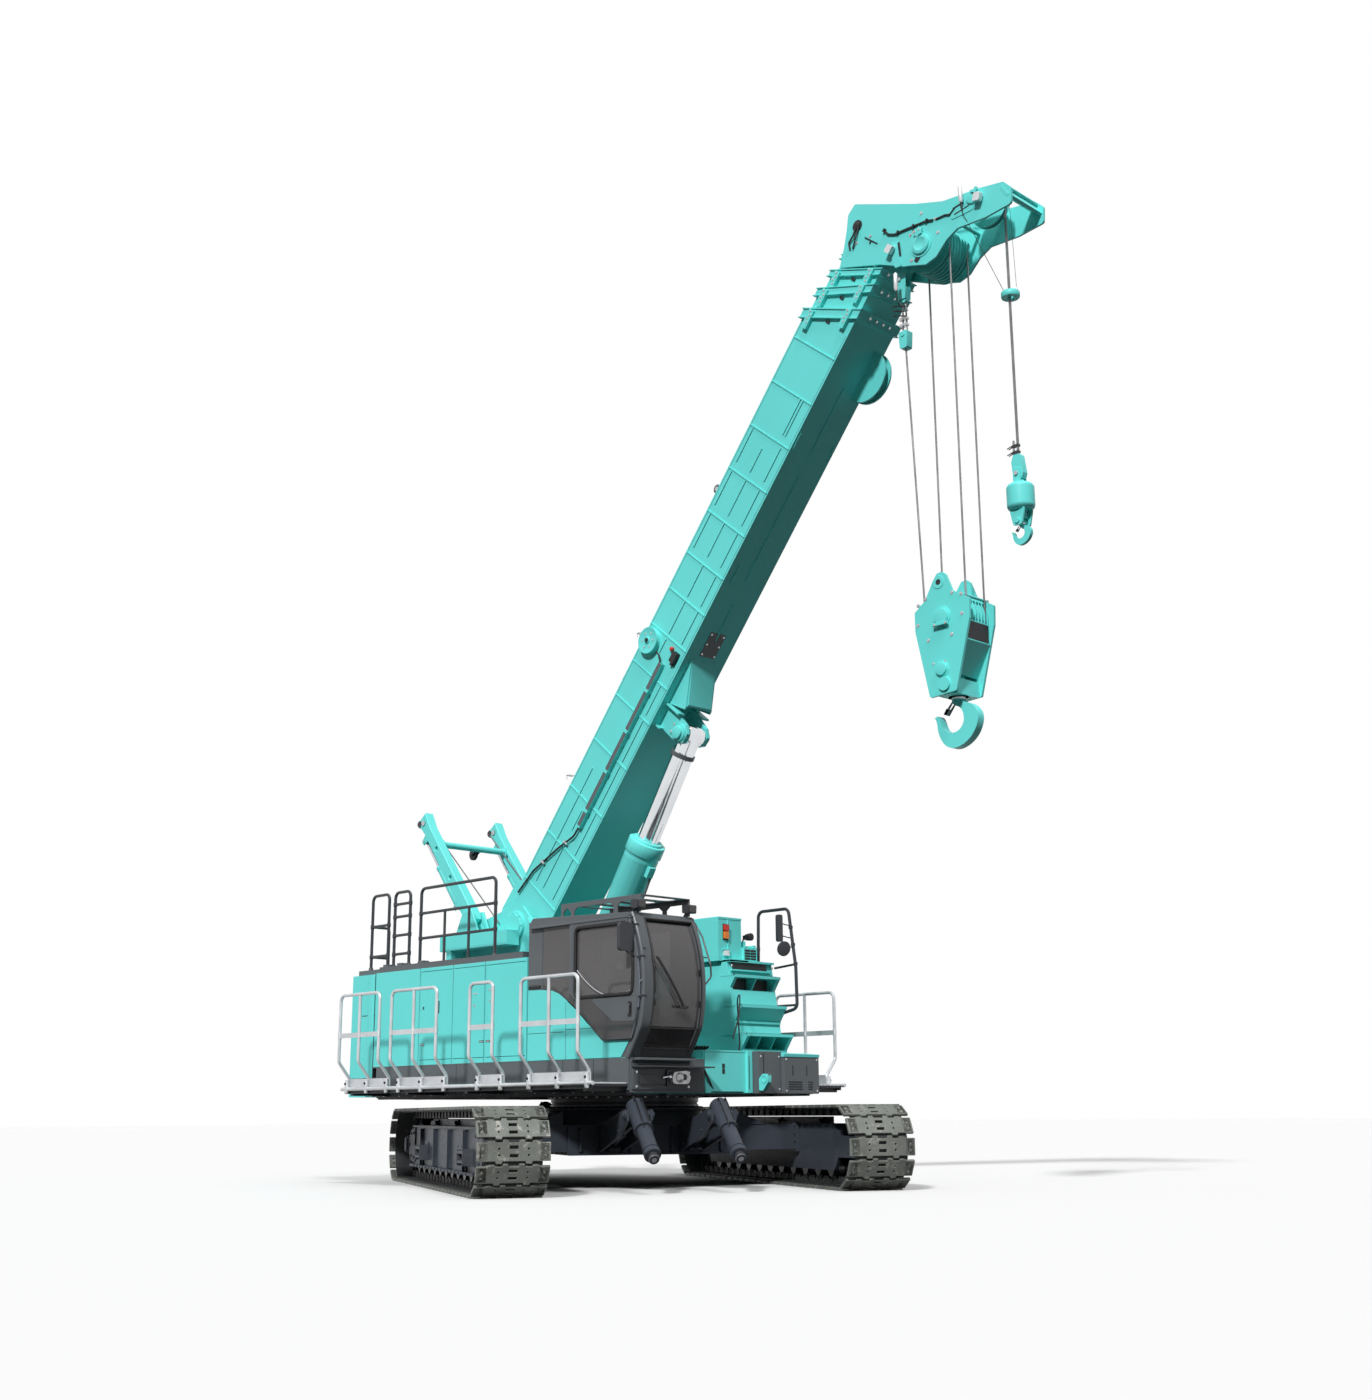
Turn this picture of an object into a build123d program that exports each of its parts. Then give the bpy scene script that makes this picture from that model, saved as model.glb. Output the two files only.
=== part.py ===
"""Telescopic-boom crawler crane, 75 t class, as an assembly of separate pieces.

Millimetres, +X the way the cab and boom face, +Y to the left, +Z up.
The origin is on the ground under the middle of the machine's overall box.
"""
import os
from math import atan2, cos, degrees, hypot, pi, radians, sin

from build123d import *

# --- driving dimensions: where the sub-assemblies stand -------------------------------
slew_x = -1335            # slewing axis, behind the middle of the overall box
slew_angle = 26.67        # how far the upper is slewed from the tracks
boom_angle = 50.39        # boom above the horizontal
boom_foot = (-1628, 3268)  # boom foot pin, x and z from the slewing axis
eye_at = (3500, -800)     # luffing cylinder's eye on the boom, along it and above its axis
cylinder_foot = (-1100, 1800)   # luffing cylinder's foot pin, x and z
running = 8               # clearance beside faces that slide or turn past each other
seat = 0.3                # gap between a piece and what carries it across a joint

# --- driving dimensions: undercarriage ------------------------------------------------
track_height = 933
straight_shoes = 24       # shoe pitches between the two axles
bend_shoes = 6            # shoe pitches round each end
track_outer = 2447        # outer edge of the shoes from the machine's centre line
shoe_width = 775
shoe_plate = 34
chain_depth = 92
chain_width = 210
deck_bottom = 1067

# --- driving dimensions: upper --------------------------------------------------------
house_side = 1538
house_top = 2690
house_rear = -3250
house_front = -63
skirt_top = 1460
frame_side = 1520
weight_rear = -3820
weight_top = 2680
weight_bend = 40          # the counterweight's rear corners
web_y = 430               # the two boom foot webs
web_thick = 40
wall = 40
cab_x = (-40, 1750)
cab_y = (-1520, -590)
cab_z = (1460, 3150)
cab_wall = 55

# --- driving dimensions: boom ---------------------------------------------------------
section_gap = 14          # between one boom section and the next
plate_boom = 16
# name, height, width, near end on top, near end below, collar length, inner end
boom_sections = (
    ("boom_base", 844, 687, 8750, 9070, 130, -350),
    ("boom_section_2", 784, 627, 9032, 9386, 110, 700),
    ("boom_section_3", 724, 567, 9289, 9587, 90, 850),
    ("boom_section_4", 664, 507, 9512, 9792, 70, 1000),
)
collar_rise = 40
collar_rib = 14           # the ribs along both edges of a collar
collar_step = 14
main_pin = (10005, -800)   # head sheaves' pin, along the boom and above its axis
aux_pin = (10695, -1187)

UPPER = Plane(origin=(slew_x, 0, 0))
LOWER = Plane(
    origin=(slew_x, 0, 0),
    x_dir=(cos(radians(slew_angle)), -sin(radians(slew_angle)), 0),
    z_dir=(0, 0, 1),
)
BOOM = Plane(
    origin=(slew_x + boom_foot[0], 0, boom_foot[1]),
    x_dir=(cos(radians(boom_angle)), 0, sin(radians(boom_angle))),
    z_dir=(-sin(radians(boom_angle)), 0, cos(radians(boom_angle))),
)


def on_boom(a, h):
    """A point on the boom, along it and above its axis, as x and z from the slewing axis."""
    e = radians(boom_angle)
    return (boom_foot[0] + a * cos(e) - h * sin(e), boom_foot[1] + a * sin(e) + h * cos(e))


eye = on_boom(*eye_at)
cylinder_angle = degrees(atan2(eye[1] - cylinder_foot[1], eye[0] - cylinder_foot[0]))
cylinder_length = hypot(eye[1] - cylinder_foot[1], eye[0] - cylinder_foot[0])
LUFF = Plane(
    origin=(slew_x + cylinder_foot[0], 0, cylinder_foot[1]),
    x_dir=(cos(radians(cylinder_angle)), 0, sin(radians(cylinder_angle))),
    z_dir=(-sin(radians(cylinder_angle)), 0, cos(radians(cylinder_angle))),
)


# --- shared shapes --------------------------------------------------------------------
def side_plane(frame, y=0):
    """The frame's side view, x across and z up, at y; an extrusion goes to the right."""
    return Plane(frame.from_local_coords((0, y, 0)), x_dir=frame.x_dir, z_dir=-frame.y_dir)


def block(x, y, z, mode=Mode.ADD):
    """A box between two values on each axis of the builder's frame."""
    with Locations(((x[0] + x[1]) / 2, (y[0] + y[1]) / 2, (z[0] + z[1]) / 2)):
        Box(x[1] - x[0], y[1] - y[0], z[1] - z[0], mode=mode)


def plate(frame, points, y, mode=Mode.ADD, bend=0):
    """A flat plate with its side view given as x and z points, between two y values."""
    with BuildSketch(side_plane(frame, max(y))) as outline:
        Polygon(*points, align=None)
        if bend:
            fillet(outline.vertices(), bend)
    extrude(outline.sketch, amount=abs(y[1] - y[0]), dir=-frame.y_dir, mode=mode)


def drum(frame, at, radius, y, mode=Mode.ADD):
    """A cylinder across the machine, at x and z, between two y values."""
    with BuildSketch(side_plane(frame, max(y))) as outline:
        with Locations(at):
            Circle(radius)
    extrude(outline.sketch, amount=abs(y[1] - y[0]), dir=-frame.y_dir, mode=mode)


def bar(frame, start, end, size, mode=Mode.ADD):
    """A straight square bar between two points of the frame."""
    first = Vector(*frame.from_local_coords(start))
    last = Vector(*frame.from_local_coords(end))
    with BuildSketch(Plane(origin=first, z_dir=last - first)) as section:
        Rectangle(size, size)
    extrude(section.sketch, amount=(last - first).length, dir=last - first, mode=mode)


def pipe(frame, points, radius, bend):
    """A round rail along points of the frame, its corners bent to one radius."""
    path = [Vector(*frame.from_local_coords(point)) for point in points]
    with BuildLine() as route:
        FilletPolyline(*path, radius=bend)
    start = Plane(origin=route.line @ 0, z_dir=route.line % 0)
    with BuildSketch(start) as section:
        RegularPolygon(radius, 8)
    sweep(section.sketch, path=route.line)


def save(piece, label):
    """Name a finished piece and write its file."""
    piece.part.label = label
    export_step(piece.part, f"parts/{label}.step")


os.makedirs("parts", exist_ok=True)


# --- undercarriage: tracks ------------------------------------------------------------
track_mid = track_outer - shoe_width / 2
axle_z = track_height / 2
belt_radius = axle_z - shoe_plate          # under the shoes' plates
shoe_pitch = pi * belt_radius / bend_shoes
wheel_x = straight_shoes * shoe_pitch / 2  # sprocket and idler axles from the middle
shoe_count = 2 * (straight_shoes + bend_shoes)
shoe_seat = 6                              # the plates' bedding in their links
# along the pitch and outwards: the plate with its raised grip and stepped ends
shoe_outline = (
    (-shoe_pitch / 2 + 6, -shoe_seat), (shoe_pitch / 2 - 6, -shoe_seat), (shoe_pitch / 2 - 6, 20),
    (shoe_pitch / 2 - 34, shoe_plate), (-shoe_pitch / 2 + 34, shoe_plate),
    (-shoe_pitch / 2 + 6, 20),
)


def on_loop(s):
    """Where a shoe lies at the length s round the belt: x, z and heading in degrees."""
    bend = pi * belt_radius
    if s < 2 * wheel_x:
        return (wheel_x - s, axle_z + belt_radius, 0)
    s -= 2 * wheel_x
    if s < bend:
        turn = degrees(s / belt_radius)
        return (-wheel_x - belt_radius * sin(radians(turn)),
                axle_z + belt_radius * cos(radians(turn)), turn)
    s -= bend
    if s < 2 * wheel_x:
        return (-wheel_x + s, axle_z - belt_radius, 180)
    turn = degrees((s - 2 * wheel_x) / belt_radius)
    return (wheel_x + belt_radius * sin(radians(turn)),
            axle_z - belt_radius * cos(radians(turn)), 180 + turn)


def belt(y_mid):
    """One track: flat shoes on two rows of chain links, as one loop."""
    with BuildPart() as track:
        with BuildSketch(side_plane(LOWER, y_mid + chain_width / 2)):
            with Locations((0, axle_z)):
                SlotCenterToCenter(2 * wheel_x, 2 * belt_radius)
                SlotCenterToCenter(2 * wheel_x, 2 * (belt_radius - chain_depth),
                                   mode=Mode.SUBTRACT)
        extrude(amount=chain_width)
        with BuildSketch(side_plane(LOWER, y_mid + shoe_width / 2)):
            for shoe in range(shoe_count):
                x, z, turn = on_loop(shoe * shoe_pitch)
                with Locations(Location((x, z, 0), (0, 0, turn))):
                    Polygon(*shoe_outline, align=None)
        extrude(amount=shoe_width)
    return track


for name, y_mid in (("track_right", -track_mid), ("track_left", track_mid)):
    save(belt(y_mid), name)

# --- undercarriage: side frames with their wheels -------------------------------------
inner_radius = belt_radius - chain_depth
wheel_width = 90
frame_half = 190                           # half the side frame's width
frame_nose = 120                           # the chamfered end beyond the beam
frame_ends = wheel_x - inner_radius - 30 - frame_nose
frame_wall = 40
roller_radius = 95
roller_z = axle_z - inner_radius + roller_radius + seat
roller_count = 11
frame_top = 720
side_frame_outline = (
    (-frame_ends, 200), (frame_ends, 200), (frame_ends + frame_nose, 340),
    (frame_ends + frame_nose, 620), (frame_ends, frame_top), (-frame_ends, frame_top),
    (-frame_ends - frame_nose, 620), (-frame_ends - frame_nose, 340),
)


frame_ribs = (-1500, -500, 500, 1500)
rib_thick = 30
step_out = 120


def side_frame(y_mid):
    """One track frame: a box beam with a fork at each end for its wheel."""
    outside = 1 if y_mid > 0 else -1
    face = y_mid + outside * frame_half
    with BuildPart(LOWER) as frame:
        plate(LOWER, side_frame_outline, (y_mid - frame_half, y_mid + frame_half))
        inside = frame_half - frame_wall
        block((-frame_ends - frame_nose, frame_ends + frame_nose), (y_mid - inside, y_mid + inside),
              (190, roller_z + roller_radius + 25), mode=Mode.SUBTRACT)
        for end in (-1, 1):
            for cheek in (-1, 1):
                y = y_mid + cheek * (frame_half - frame_wall / 2)
                reach = sorted((end * (frame_ends + 20), end * (wheel_x + 90)))
                block(reach, (y - frame_wall / 2, y + frame_wall / 2), (axle_z - 120, axle_z + 120))
        for x in frame_ribs:
            block((x - rib_thick / 2, x + rib_thick / 2), sorted((face, face + outside * 45)),
                  (205, frame_top - 40))
        for x in frame_ribs[::3]:
            block((x + 90, x + 430), sorted((face, face + outside * step_out)), (430, 460))
            block((x + 90, x + 430), sorted((face, face + outside * step_out)), (330, 350))
        block((-frame_ends, frame_ends), sorted((face, face + outside * 60)), (200, 230))
    return frame


for name, y_mid in (("side_frame_right", -track_mid), ("side_frame_left", track_mid)):
    save(side_frame(y_mid), name)

axle_half = frame_half - frame_wall - seat
with BuildPart() as drive_sprockets:
    for side in (-1, 1):
        y = side * track_mid
        teeth = 13
        with BuildSketch(side_plane(LOWER, y + wheel_width / 2)):
            with Locations((-wheel_x, axle_z)):
                Circle(inner_radius - 40)
                with PolarLocations(inner_radius - 40, teeth):
                    Rectangle(60, 60)
        extrude(amount=wheel_width)
        drum(LOWER, (-wheel_x, axle_z), 100, (y - axle_half, y + axle_half))
save(drive_sprockets, "drive_sprockets")

with BuildPart() as idlers:
    for side in (-1, 1):
        y = side * track_mid
        drum(LOWER, (wheel_x, axle_z), inner_radius - seat, (y - wheel_width / 2, y + wheel_width / 2))
        drum(LOWER, (wheel_x, axle_z), 80, (y - axle_half, y + axle_half))
save(idlers, "idlers")

with BuildPart() as track_rollers:
    for side in (-1, 1):
        y = side * track_mid
        for roller in range(roller_count):
            x = (roller - (roller_count - 1) / 2) * 2 * frame_ends / roller_count
            drum(LOWER, (x, roller_z), roller_radius, (y - axle_half, y + axle_half))
save(track_rollers, "track_rollers")

# --- undercarriage: carbody, slew ring and jacks --------------------------------------
body_z = (380, 720)
body_half = 1150
ring_base_z = 900
beam_x = 900
beam_half = 210
jack_x = 2330
jack_y = 0.2 * track_outer
jack_pin_z = 830
jack_lean = 53                             # from the vertical when stowed
jack_drop = 780                            # pin to foot
arm_half = 60
with BuildPart(LOWER) as carbody:
    block((-body_half, body_half), (-1000, 1000), body_z)
    inner_face = track_mid - frame_half
    for x in (-beam_x, beam_x):
        block((x - beam_half, x + beam_half), (-inner_face, inner_face), (body_z[0] + 40, body_z[1] - 5))
    with BuildSketch(LOWER.offset(body_z[1])):
        Circle(960)
    extrude(amount=ring_base_z - body_z[1])
    for end in (-1, 1):
        for side in (-1, 1):
            for cheek in (-1, 1):
                y = side * jack_y + cheek * (arm_half + 75)
                arm = [(end * x, z) for x, z in (
                    (body_half - 20, body_z[0] + 20), (jack_x - 250, 600), (jack_x + 60, jack_pin_z - 60),
                    (jack_x + 60, jack_pin_z + 60), (jack_x - 60, jack_pin_z + 60), (body_half - 20, 715))]
                plate(LOWER, arm, (y - 15, y + 15))
save(carbody, "carbody")

with BuildPart(LOWER) as slew_ring:
    with BuildSketch(LOWER.offset(ring_base_z)):
        Circle(900)
        Circle(700, mode=Mode.SUBTRACT)
    extrude(amount=deck_bottom - ring_base_z - seat)
save(slew_ring, "slew_ring")

jack_corners = (("front_right", 1, -1), ("front_left", 1, 1), ("rear_right", -1, -1), ("rear_left", -1, 1))
for corner, end, side in jack_corners:
    with BuildPart() as jack:
        lean = radians(jack_lean)
        down = Vector(end * sin(lean), 0, -cos(lean))
        pin = Vector(end * jack_x, side * jack_y, jack_pin_z)
        for near, far, radius in ((-170, 250, 105), (250, 700, 85), (700, jack_drop, 55)):
            start = LOWER.from_local_coords(pin + down * near)
            axis = Vector(*LOWER.from_local_coords(pin + down * far)) - Vector(*start)
            with BuildSketch(Plane(origin=start, z_dir=axis)):
                Circle(radius)
            extrude(amount=far - near)
        half = arm_half + 60 - seat
        drum(LOWER, (end * jack_x, jack_pin_z), 45, (side * jack_y - half, side * jack_y + half))
    save(jack, f"jack_{corner}")

# --- upper: revolving frame -----------------------------------------------------------
deck_top = 1110
web_outline = (
    (-3150, deck_top), (1600, deck_top), (1600, 1380), (-350, 1950), (-1330, 3350),
    (-1500, 3520), (-1760, 3520), (-2700, 3300), (-2950, 3180), (-2950, 2600), (-3150, 1500),
)
pin_radius = 75
with BuildPart(UPPER) as revolving_frame:
    block((-3180, 1750), (-frame_side, frame_side), (deck_bottom, deck_top))
    for side in (-1, 1):
        plate(UPPER, web_outline, (side * web_y, side * (web_y + web_thick)))
        block((-3180, 1750), sorted((side * frame_side, side * (frame_side - 40))), (deck_top, skirt_top))
    block((1640, 1750), (-frame_side + 40, frame_side - 40), (deck_top, skirt_top))
    block((-3150, -3110), (-web_y, web_y), (deck_top, 1500))
    for x, z, radius in ((-2300, 2050, 240), (-1850, 2620, 150), (500, 1400, 130)):
        drum(UPPER, (x, z), radius, (-web_y - web_thick - 5, web_y + web_thick + 5), Mode.SUBTRACT)
    foot_y = 175
    for side in (-1, 1):
        ear = ((-350, deck_top), (350, deck_top), (130, 1850), (0, 1940), (-130, 1850))
        plate(UPPER, [(cylinder_foot[0] + x, z) for x, z in ear],
              (side * foot_y, side * (foot_y + 50)))
    drum(UPPER, cylinder_foot, pin_radius, (-foot_y - 90, foot_y + 90))
    drum(UPPER, boom_foot, pin_radius, (-web_y - web_thick - 30, web_y + web_thick + 30))
save(revolving_frame, "revolving_frame")

# --- upper: counterweight and house ---------------------------------------------------
with BuildPart(UPPER) as counterweight:
    with BuildSketch(Plane((slew_x, 0, deck_bottom + 15))):
        with Locations(((weight_rear + house_rear) / 2, 0)):
            Rectangle(house_rear - weight_rear, 2 * house_side)
    extrude(amount=weight_top - deck_bottom - 15)
    fillet(counterweight.edges().filter_by(Axis.Z).sort_by(Axis.X)[:2], weight_bend)
save(counterweight, "counterweight")

# seams between the right side's panels, from the rear
door_seams = (-2242, -1531, -874, house_front)
door_z = (1530, 2640)
door_gap = 6
bay_inner = web_y + web_thick + 30
curb_height = 75


def house(side):
    """One side of the machinery house: roof, end walls and inner wall around its bay."""
    with BuildPart(UPPER) as shell:
        y = sorted((side * bay_inner, side * house_side))
        block((house_rear, house_front), y, (skirt_top, house_top))
        inside = sorted((side * (bay_inner + wall), side * (house_side - wall)))
        block((house_rear + wall, house_front - wall), inside, (skirt_top, house_top - wall),
              mode=Mode.SUBTRACT)
        if side < 0:
            for near, far in zip(door_seams, door_seams[1:]):
                block((near + 2 * door_gap, far - 2 * door_gap), (-house_side, -house_side + wall),
                      (door_z[0] - door_gap, door_z[1] + door_gap), mode=Mode.SUBTRACT)
            block((house_rear + 60, house_front - 110), (-house_side + 20, -house_side + 60),
                  (house_top, house_top + curb_height))
    return shell


for name, side in (("house_right", -1), ("house_left", 1)):
    save(house(side), name)

for number, hinge_at_rear in ((1, False), (2, True), (3, False)):
    near, far = door_seams[number - 1] + 2 * door_gap, door_seams[number] - 2 * door_gap
    if hinge_at_rear:
        leaf = (near + seat, far - door_gap)
    else:
        leaf = (near + door_gap, far - seat)
    with BuildPart(UPPER) as door:
        block(leaf, (-house_side, -house_side + wall), door_z)
    save(door, f"house_door_{number}")

with BuildPart(UPPER) as engine_block:
    block((-2900, -1300), (-house_side + 200, -bay_inner - 120), (deck_top, 2300))
save(engine_block, "engine_block")

# --- upper: cab -----------------------------------------------------------------------
cab_toe = (1760, cab_z[0])       # the front's lower edge, its knee, bulge and brow
cab_knee = (1960, 1800)
front_bulge = (2020, 2300)
cab_brow = (1820, cab_z[1] - 70)


def cab_profile(inset):
    """The cab's side view, drawn in by inset: upright rear, flat roof, bowed front."""
    with BuildSketch(side_plane(UPPER, cab_y[1] - inset)) as profile:
        with BuildLine():
            bottom = (cab_toe[0] - inset, cab_toe[1] + inset)
            knee = (cab_knee[0] - inset, cab_knee[1])
            top = (cab_brow[0] - inset, cab_brow[1] - inset)
            Line(bottom, knee)
            ThreePointArc(knee, (front_bulge[0] - inset, front_bulge[1]), top)
            Polyline(top, (cab_x[0] + 60 + inset, cab_z[1] - inset),
                     (cab_x[0] + inset, cab_z[1] - 60 - inset), (cab_x[0] + inset, cab_z[0] + inset),
                     bottom)
        make_face()
    return profile.sketch


def door_profile(y, inset):
    """The sliding door's side view at y, drawn in by inset: a cut corner and a bowed front."""
    low, top, rear = door_low + inset, rail_z - seat - inset, door_x[0] + inset
    with BuildSketch(side_plane(UPPER, y)) as profile:
        with BuildLine():
            front_low = (door_x[1] - 115 - inset, low)
            front_top = (door_x[1] - 155 - inset, top)
            ThreePointArc(front_low, (door_x[1] - inset, (low + top) / 2), front_top)
            Polyline(front_top, (rear, top), (rear, low + door_cut[1]),
                     (rear + door_cut[0], low), front_low)
        make_face()
    return profile.sketch


def door_pane(y):
    """The door window's side view at y, its front edge bowed with the door's."""
    low, top = door_window[1]
    rear, front = door_window[0]
    with BuildSketch(side_plane(UPPER, y)) as profile:
        with BuildLine():
            ThreePointArc((front, low), (front + 20, (low + top) / 2 - 50), (front - 75, top))
            Polyline((front - 75, top), (rear, top), (rear, low), (front, low))
        make_face()
    return profile.sketch


window_front = ((1300, 2100), (-1400, -650), (1560, 3010))
window_left = ((250, 1500), (-800, -500), (1950, 2950))
window_rear = ((-200, 200), (-1380, -730), (2150, 2950))
window_roof = ((500, 1400), (-1380, -730), (2900, 3300))
rear_quarter = ((230, 720), (-1700, -1400), (2340, 2990))
cab_windows = (window_front, window_left, window_rear, window_roof, rear_quarter)
# the sliding door: rear and front edges, the corner cut off below and the door's height
door_x = (760, 1955)
door_low = 1660
door_cut = (600, 560)
door_lap = 40
door_window = ((880, 1850), (2160, 2955))
rail_z = 3013
with BuildPart(UPPER) as cab_shell:
    extrude(cab_profile(0), amount=cab_y[1] - cab_y[0], dir=(0, -1, 0))
    extrude(cab_profile(cab_wall), amount=cab_y[1] - cab_y[0] - 2 * cab_wall, dir=(0, -1, 0),
            mode=Mode.SUBTRACT)
    for window in cab_windows:
        block(*window, mode=Mode.SUBTRACT)
    extrude(door_profile(cab_y[0] + cab_wall + 20, door_lap), amount=cab_wall + 30, dir=(0, -1, 0),
            mode=Mode.SUBTRACT)
    block((20, door_x[1] - 165), (cab_y[0] - 60, cab_y[0]), (rail_z, rail_z + 27))
save(cab_shell, "cab_shell")

with BuildPart(UPPER) as cab_glass:
    extrude(cab_profile(20), amount=cab_y[1] - cab_y[0] - 40, dir=(0, -1, 0))
    extrude(cab_profile(30), amount=cab_y[1] - cab_y[0] - 60, dir=(0, -1, 0), mode=Mode.SUBTRACT)
    with BuildPart(UPPER, mode=Mode.INTERSECT):
        for window in cab_windows:
            block(*window)
save(cab_glass, "cab_glass")

cab_floor = cab_z[0] + cab_wall
with BuildPart(UPPER) as cab_interior:
    block((450, 950), (-1300, -820), (cab_floor, cab_floor + 380))
    block((430, 980), (-1310, -810), (cab_floor + 380, cab_floor + 500))
    block((380, 500), (-1290, -830), (cab_floor + 500, cab_floor + 1150))
    block((1350, 1600), (-1250, -870), (cab_floor, cab_floor + 520))
save(cab_interior, "cab_interior")

guard_y = (-1450, -660)
guard_x = (460, 1860)
guard_z = (3225, 3285)
guard_plate = 12
with BuildPart(UPPER) as cab_roof_guard:
    # a flat plate with long slots across, on two side plates with arches
    block(guard_x, guard_y, (guard_z[1] - guard_plate, guard_z[1]))
    for x in (640, 980, 1320, 1660):
        with BuildSketch(UPPER.offset(guard_z[1])):
            with Locations((x, sum(guard_y) / 2)):
                SlotOverall(620, 230, rotation=90)
        extrude(amount=-guard_plate, mode=Mode.SUBTRACT)
    for y in (guard_y[0], guard_y[1] - guard_plate):
        plate(UPPER, ((guard_x[0], 3080), (guard_x[1], 3080), (guard_x[1], guard_z[1]),
                      (guard_x[0], guard_z[1])), (y, y + guard_plate))
        for near, far in ((500, 640), (700, 1400), (1470, 1790)):
            arch = ((near, 3000), (far, 3000), (far, 3180), (far - 60, guard_z[0]),
                    (near + 60, guard_z[0]), (near, 3180))
            plate(UPPER, arch, (y, y + guard_plate), Mode.SUBTRACT)
    with BuildSketch(side_plane(UPPER, 0)) as roof_line:
        Polygon((-200, 2900), (cab_x[1] + 200, 2900), (cab_x[1] + 200, cab_brow[1]),
                cab_brow, (cab_x[0] + 60, cab_z[1]), (-200, cab_z[1]), align=None)
    extrude(roof_line.sketch, amount=1600, dir=(0, -1, 0), mode=Mode.SUBTRACT)
save(cab_roof_guard, "cab_roof_guard")

slide_gap = 12
door_thick = 40
glass_in = 15
with BuildPart(UPPER) as cab_door:
    y = cab_y[0] - slide_gap
    extrude(door_profile(y, 0), amount=door_thick, dir=(0, -1, 0))
    extrude(door_pane(y), amount=door_thick, dir=(0, -1, 0), mode=Mode.SUBTRACT)
save(cab_door, "cab_door")
with BuildPart(UPPER) as cab_door_glass:
    extrude(door_pane(y - glass_in), amount=door_thick - 2 * glass_in, dir=(0, -1, 0))
save(cab_door_glass, "cab_door_glass")

# --- upper: stepped tower, boxes and catwalks -----------------------------------------
tower_y = (560, 1370)
# tread height, how far its lip stands out and the depth of the mouth under it
tower_steps = ((2500, 1390, 190), (2130, 1490, 0), (1780, 1590, 190))
with BuildPart(UPPER) as step_tower:
    tower = ((house_front, skirt_top), (1460, skirt_top), (1250, 2680), (house_front, 2680))
    plate(UPPER, tower, tower_y)
    for z, lip, mouth in tower_steps:
        block((1150, lip), tower_y, (z - 25, z))
        plate(UPPER, ((1150, z - 190), (lip - 110, z - 190), (lip, z - 25), (1150, z - 25)), tower_y)
        if mouth:
            across = (tower_y[0] + 50, tower_y[1] - 50)
            block((1200, lip + 10), across, (z - 175, z - 25), mode=Mode.SUBTRACT)
    block((700, 1180), (web_y + web_thick + 20, 900), (2680, 3220))
save(step_tower, "step_tower")
with BuildPart(UPPER) as front_boxes:
    block((1750, 1942), (824, 1444), (deck_bottom, 1522))
    block((1750, 1900), (420, 824), (deck_bottom, 1560))
    lug = ((1900, 1110), (1960, 1110), (2040, 1200), (2040, 1290), (1960, 1290), (1900, 1230))
    plate(UPPER, lug, (430, 480))
    drum(UPPER, (1985, 1240), 28, (400, 500), mode=Mode.SUBTRACT)
save(front_boxes, "front_boxes")

walk_z = 1170
for name, side in (("catwalk_right", -1), ("catwalk_left", 1)):
    with BuildPart(UPPER) as catwalk:
        across = sorted((side * frame_side, side * 2080))
        block((-3060, 1750), across, (walk_z - 30, walk_z))
        for x in (-2900, -1700, -500, 700, 1650):
            block((x - 30, x + 30), across, (1090, walk_z - 30))
    save(catwalk, name)

rail_top = 2350
rail_y = (2060, 2236)
knee_z = 1510
toe_top = 1300
mid_rail = (1810, 1870)
tube_radius = 21
rail_bend = 80
# near x, far x and whether a middle post stands in the frame
rail_frames = ((-2990, -2110, True), (-1850, -910, True), (-255, 184, False))
front_frames = (("handrails_right", -1, (700, 1700, True)), ("handrails_left", 1, (520, 1530, True)))
for name, side, front_frame in front_frames:
    with BuildPart(UPPER) as handrails:
        for near, far, middle in rail_frames + (front_frame,):
            base, top = side * rail_y[0], side * rail_y[1]
            points = ((near, base, walk_z), (near, base, toe_top), (near, top, knee_z),
                      (near, top, rail_top), (far, top, rail_top), (far, top, knee_z),
                      (far, base, toe_top), (far, base, walk_z))
            pipe(UPPER, points, tube_radius, rail_bend)
            if middle:
                x = (near + far) / 2
                points = ((x, base, walk_z), (x, base, toe_top), (x, top, knee_z), (x, top, rail_top))
                pipe(UPPER, points, tube_radius, rail_bend)
            block((near, far), sorted((top - side * 6, top + side * 6)), mid_rail)
            block((near, far), sorted((base - side * 6, base + side * 6)), (walk_z + 10, toe_top))
    save(handrails, name)

roof_rail_y = -1300
roof_rail_top = 3780
# near x, far x, what the section stands on and the heights of its rails
roof_frames = (
    (-3730, -3340, weight_top, (2950, 3360)),
    (-3200, -2850, house_top, (2950, 3200, 3450, 3620)),
    (-2600, -1000, house_top, (3120, 3450)),
)
with BuildPart(UPPER) as roof_handrails:
    for near, far, foot, rails in roof_frames:
        points = ((near, roof_rail_y, foot), (near, roof_rail_y, roof_rail_top),
                  (far, roof_rail_y, roof_rail_top), (far, roof_rail_y, foot))
        pipe(UPPER, points, tube_radius, rail_bend)
        for z in rails:
            bar(UPPER, (near, roof_rail_y, z), (far, roof_rail_y, z), 30)
save(roof_handrails, "roof_handrails")
with BuildPart(UPPER) as tower_rail:
    rail = tower_y[1] + 21
    points = ((1000, rail, 2400), (1020, rail, 3360), (1540, rail, 3360), (1650, rail, 2620),
              (1660, rail, 2110), (1300, rail, 2035))
    pipe(UPPER, points, tube_radius, rail_bend)
save(tower_rail, "tower_rail")

# --- upper: winches and masts ---------------------------------------------------------
with BuildPart(UPPER) as winches:
    for x, z in ((-2700, 2050), (-2300, 2750)):
        drum(UPPER, (x, z), 230, (-330, 330))
        for side in (-1, 1):
            drum(UPPER, (x, z), 300, (side * 330, side * 360))
            drum(UPPER, (x, z), 120, (side * 360, side * web_y))
save(winches, "winches")

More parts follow.
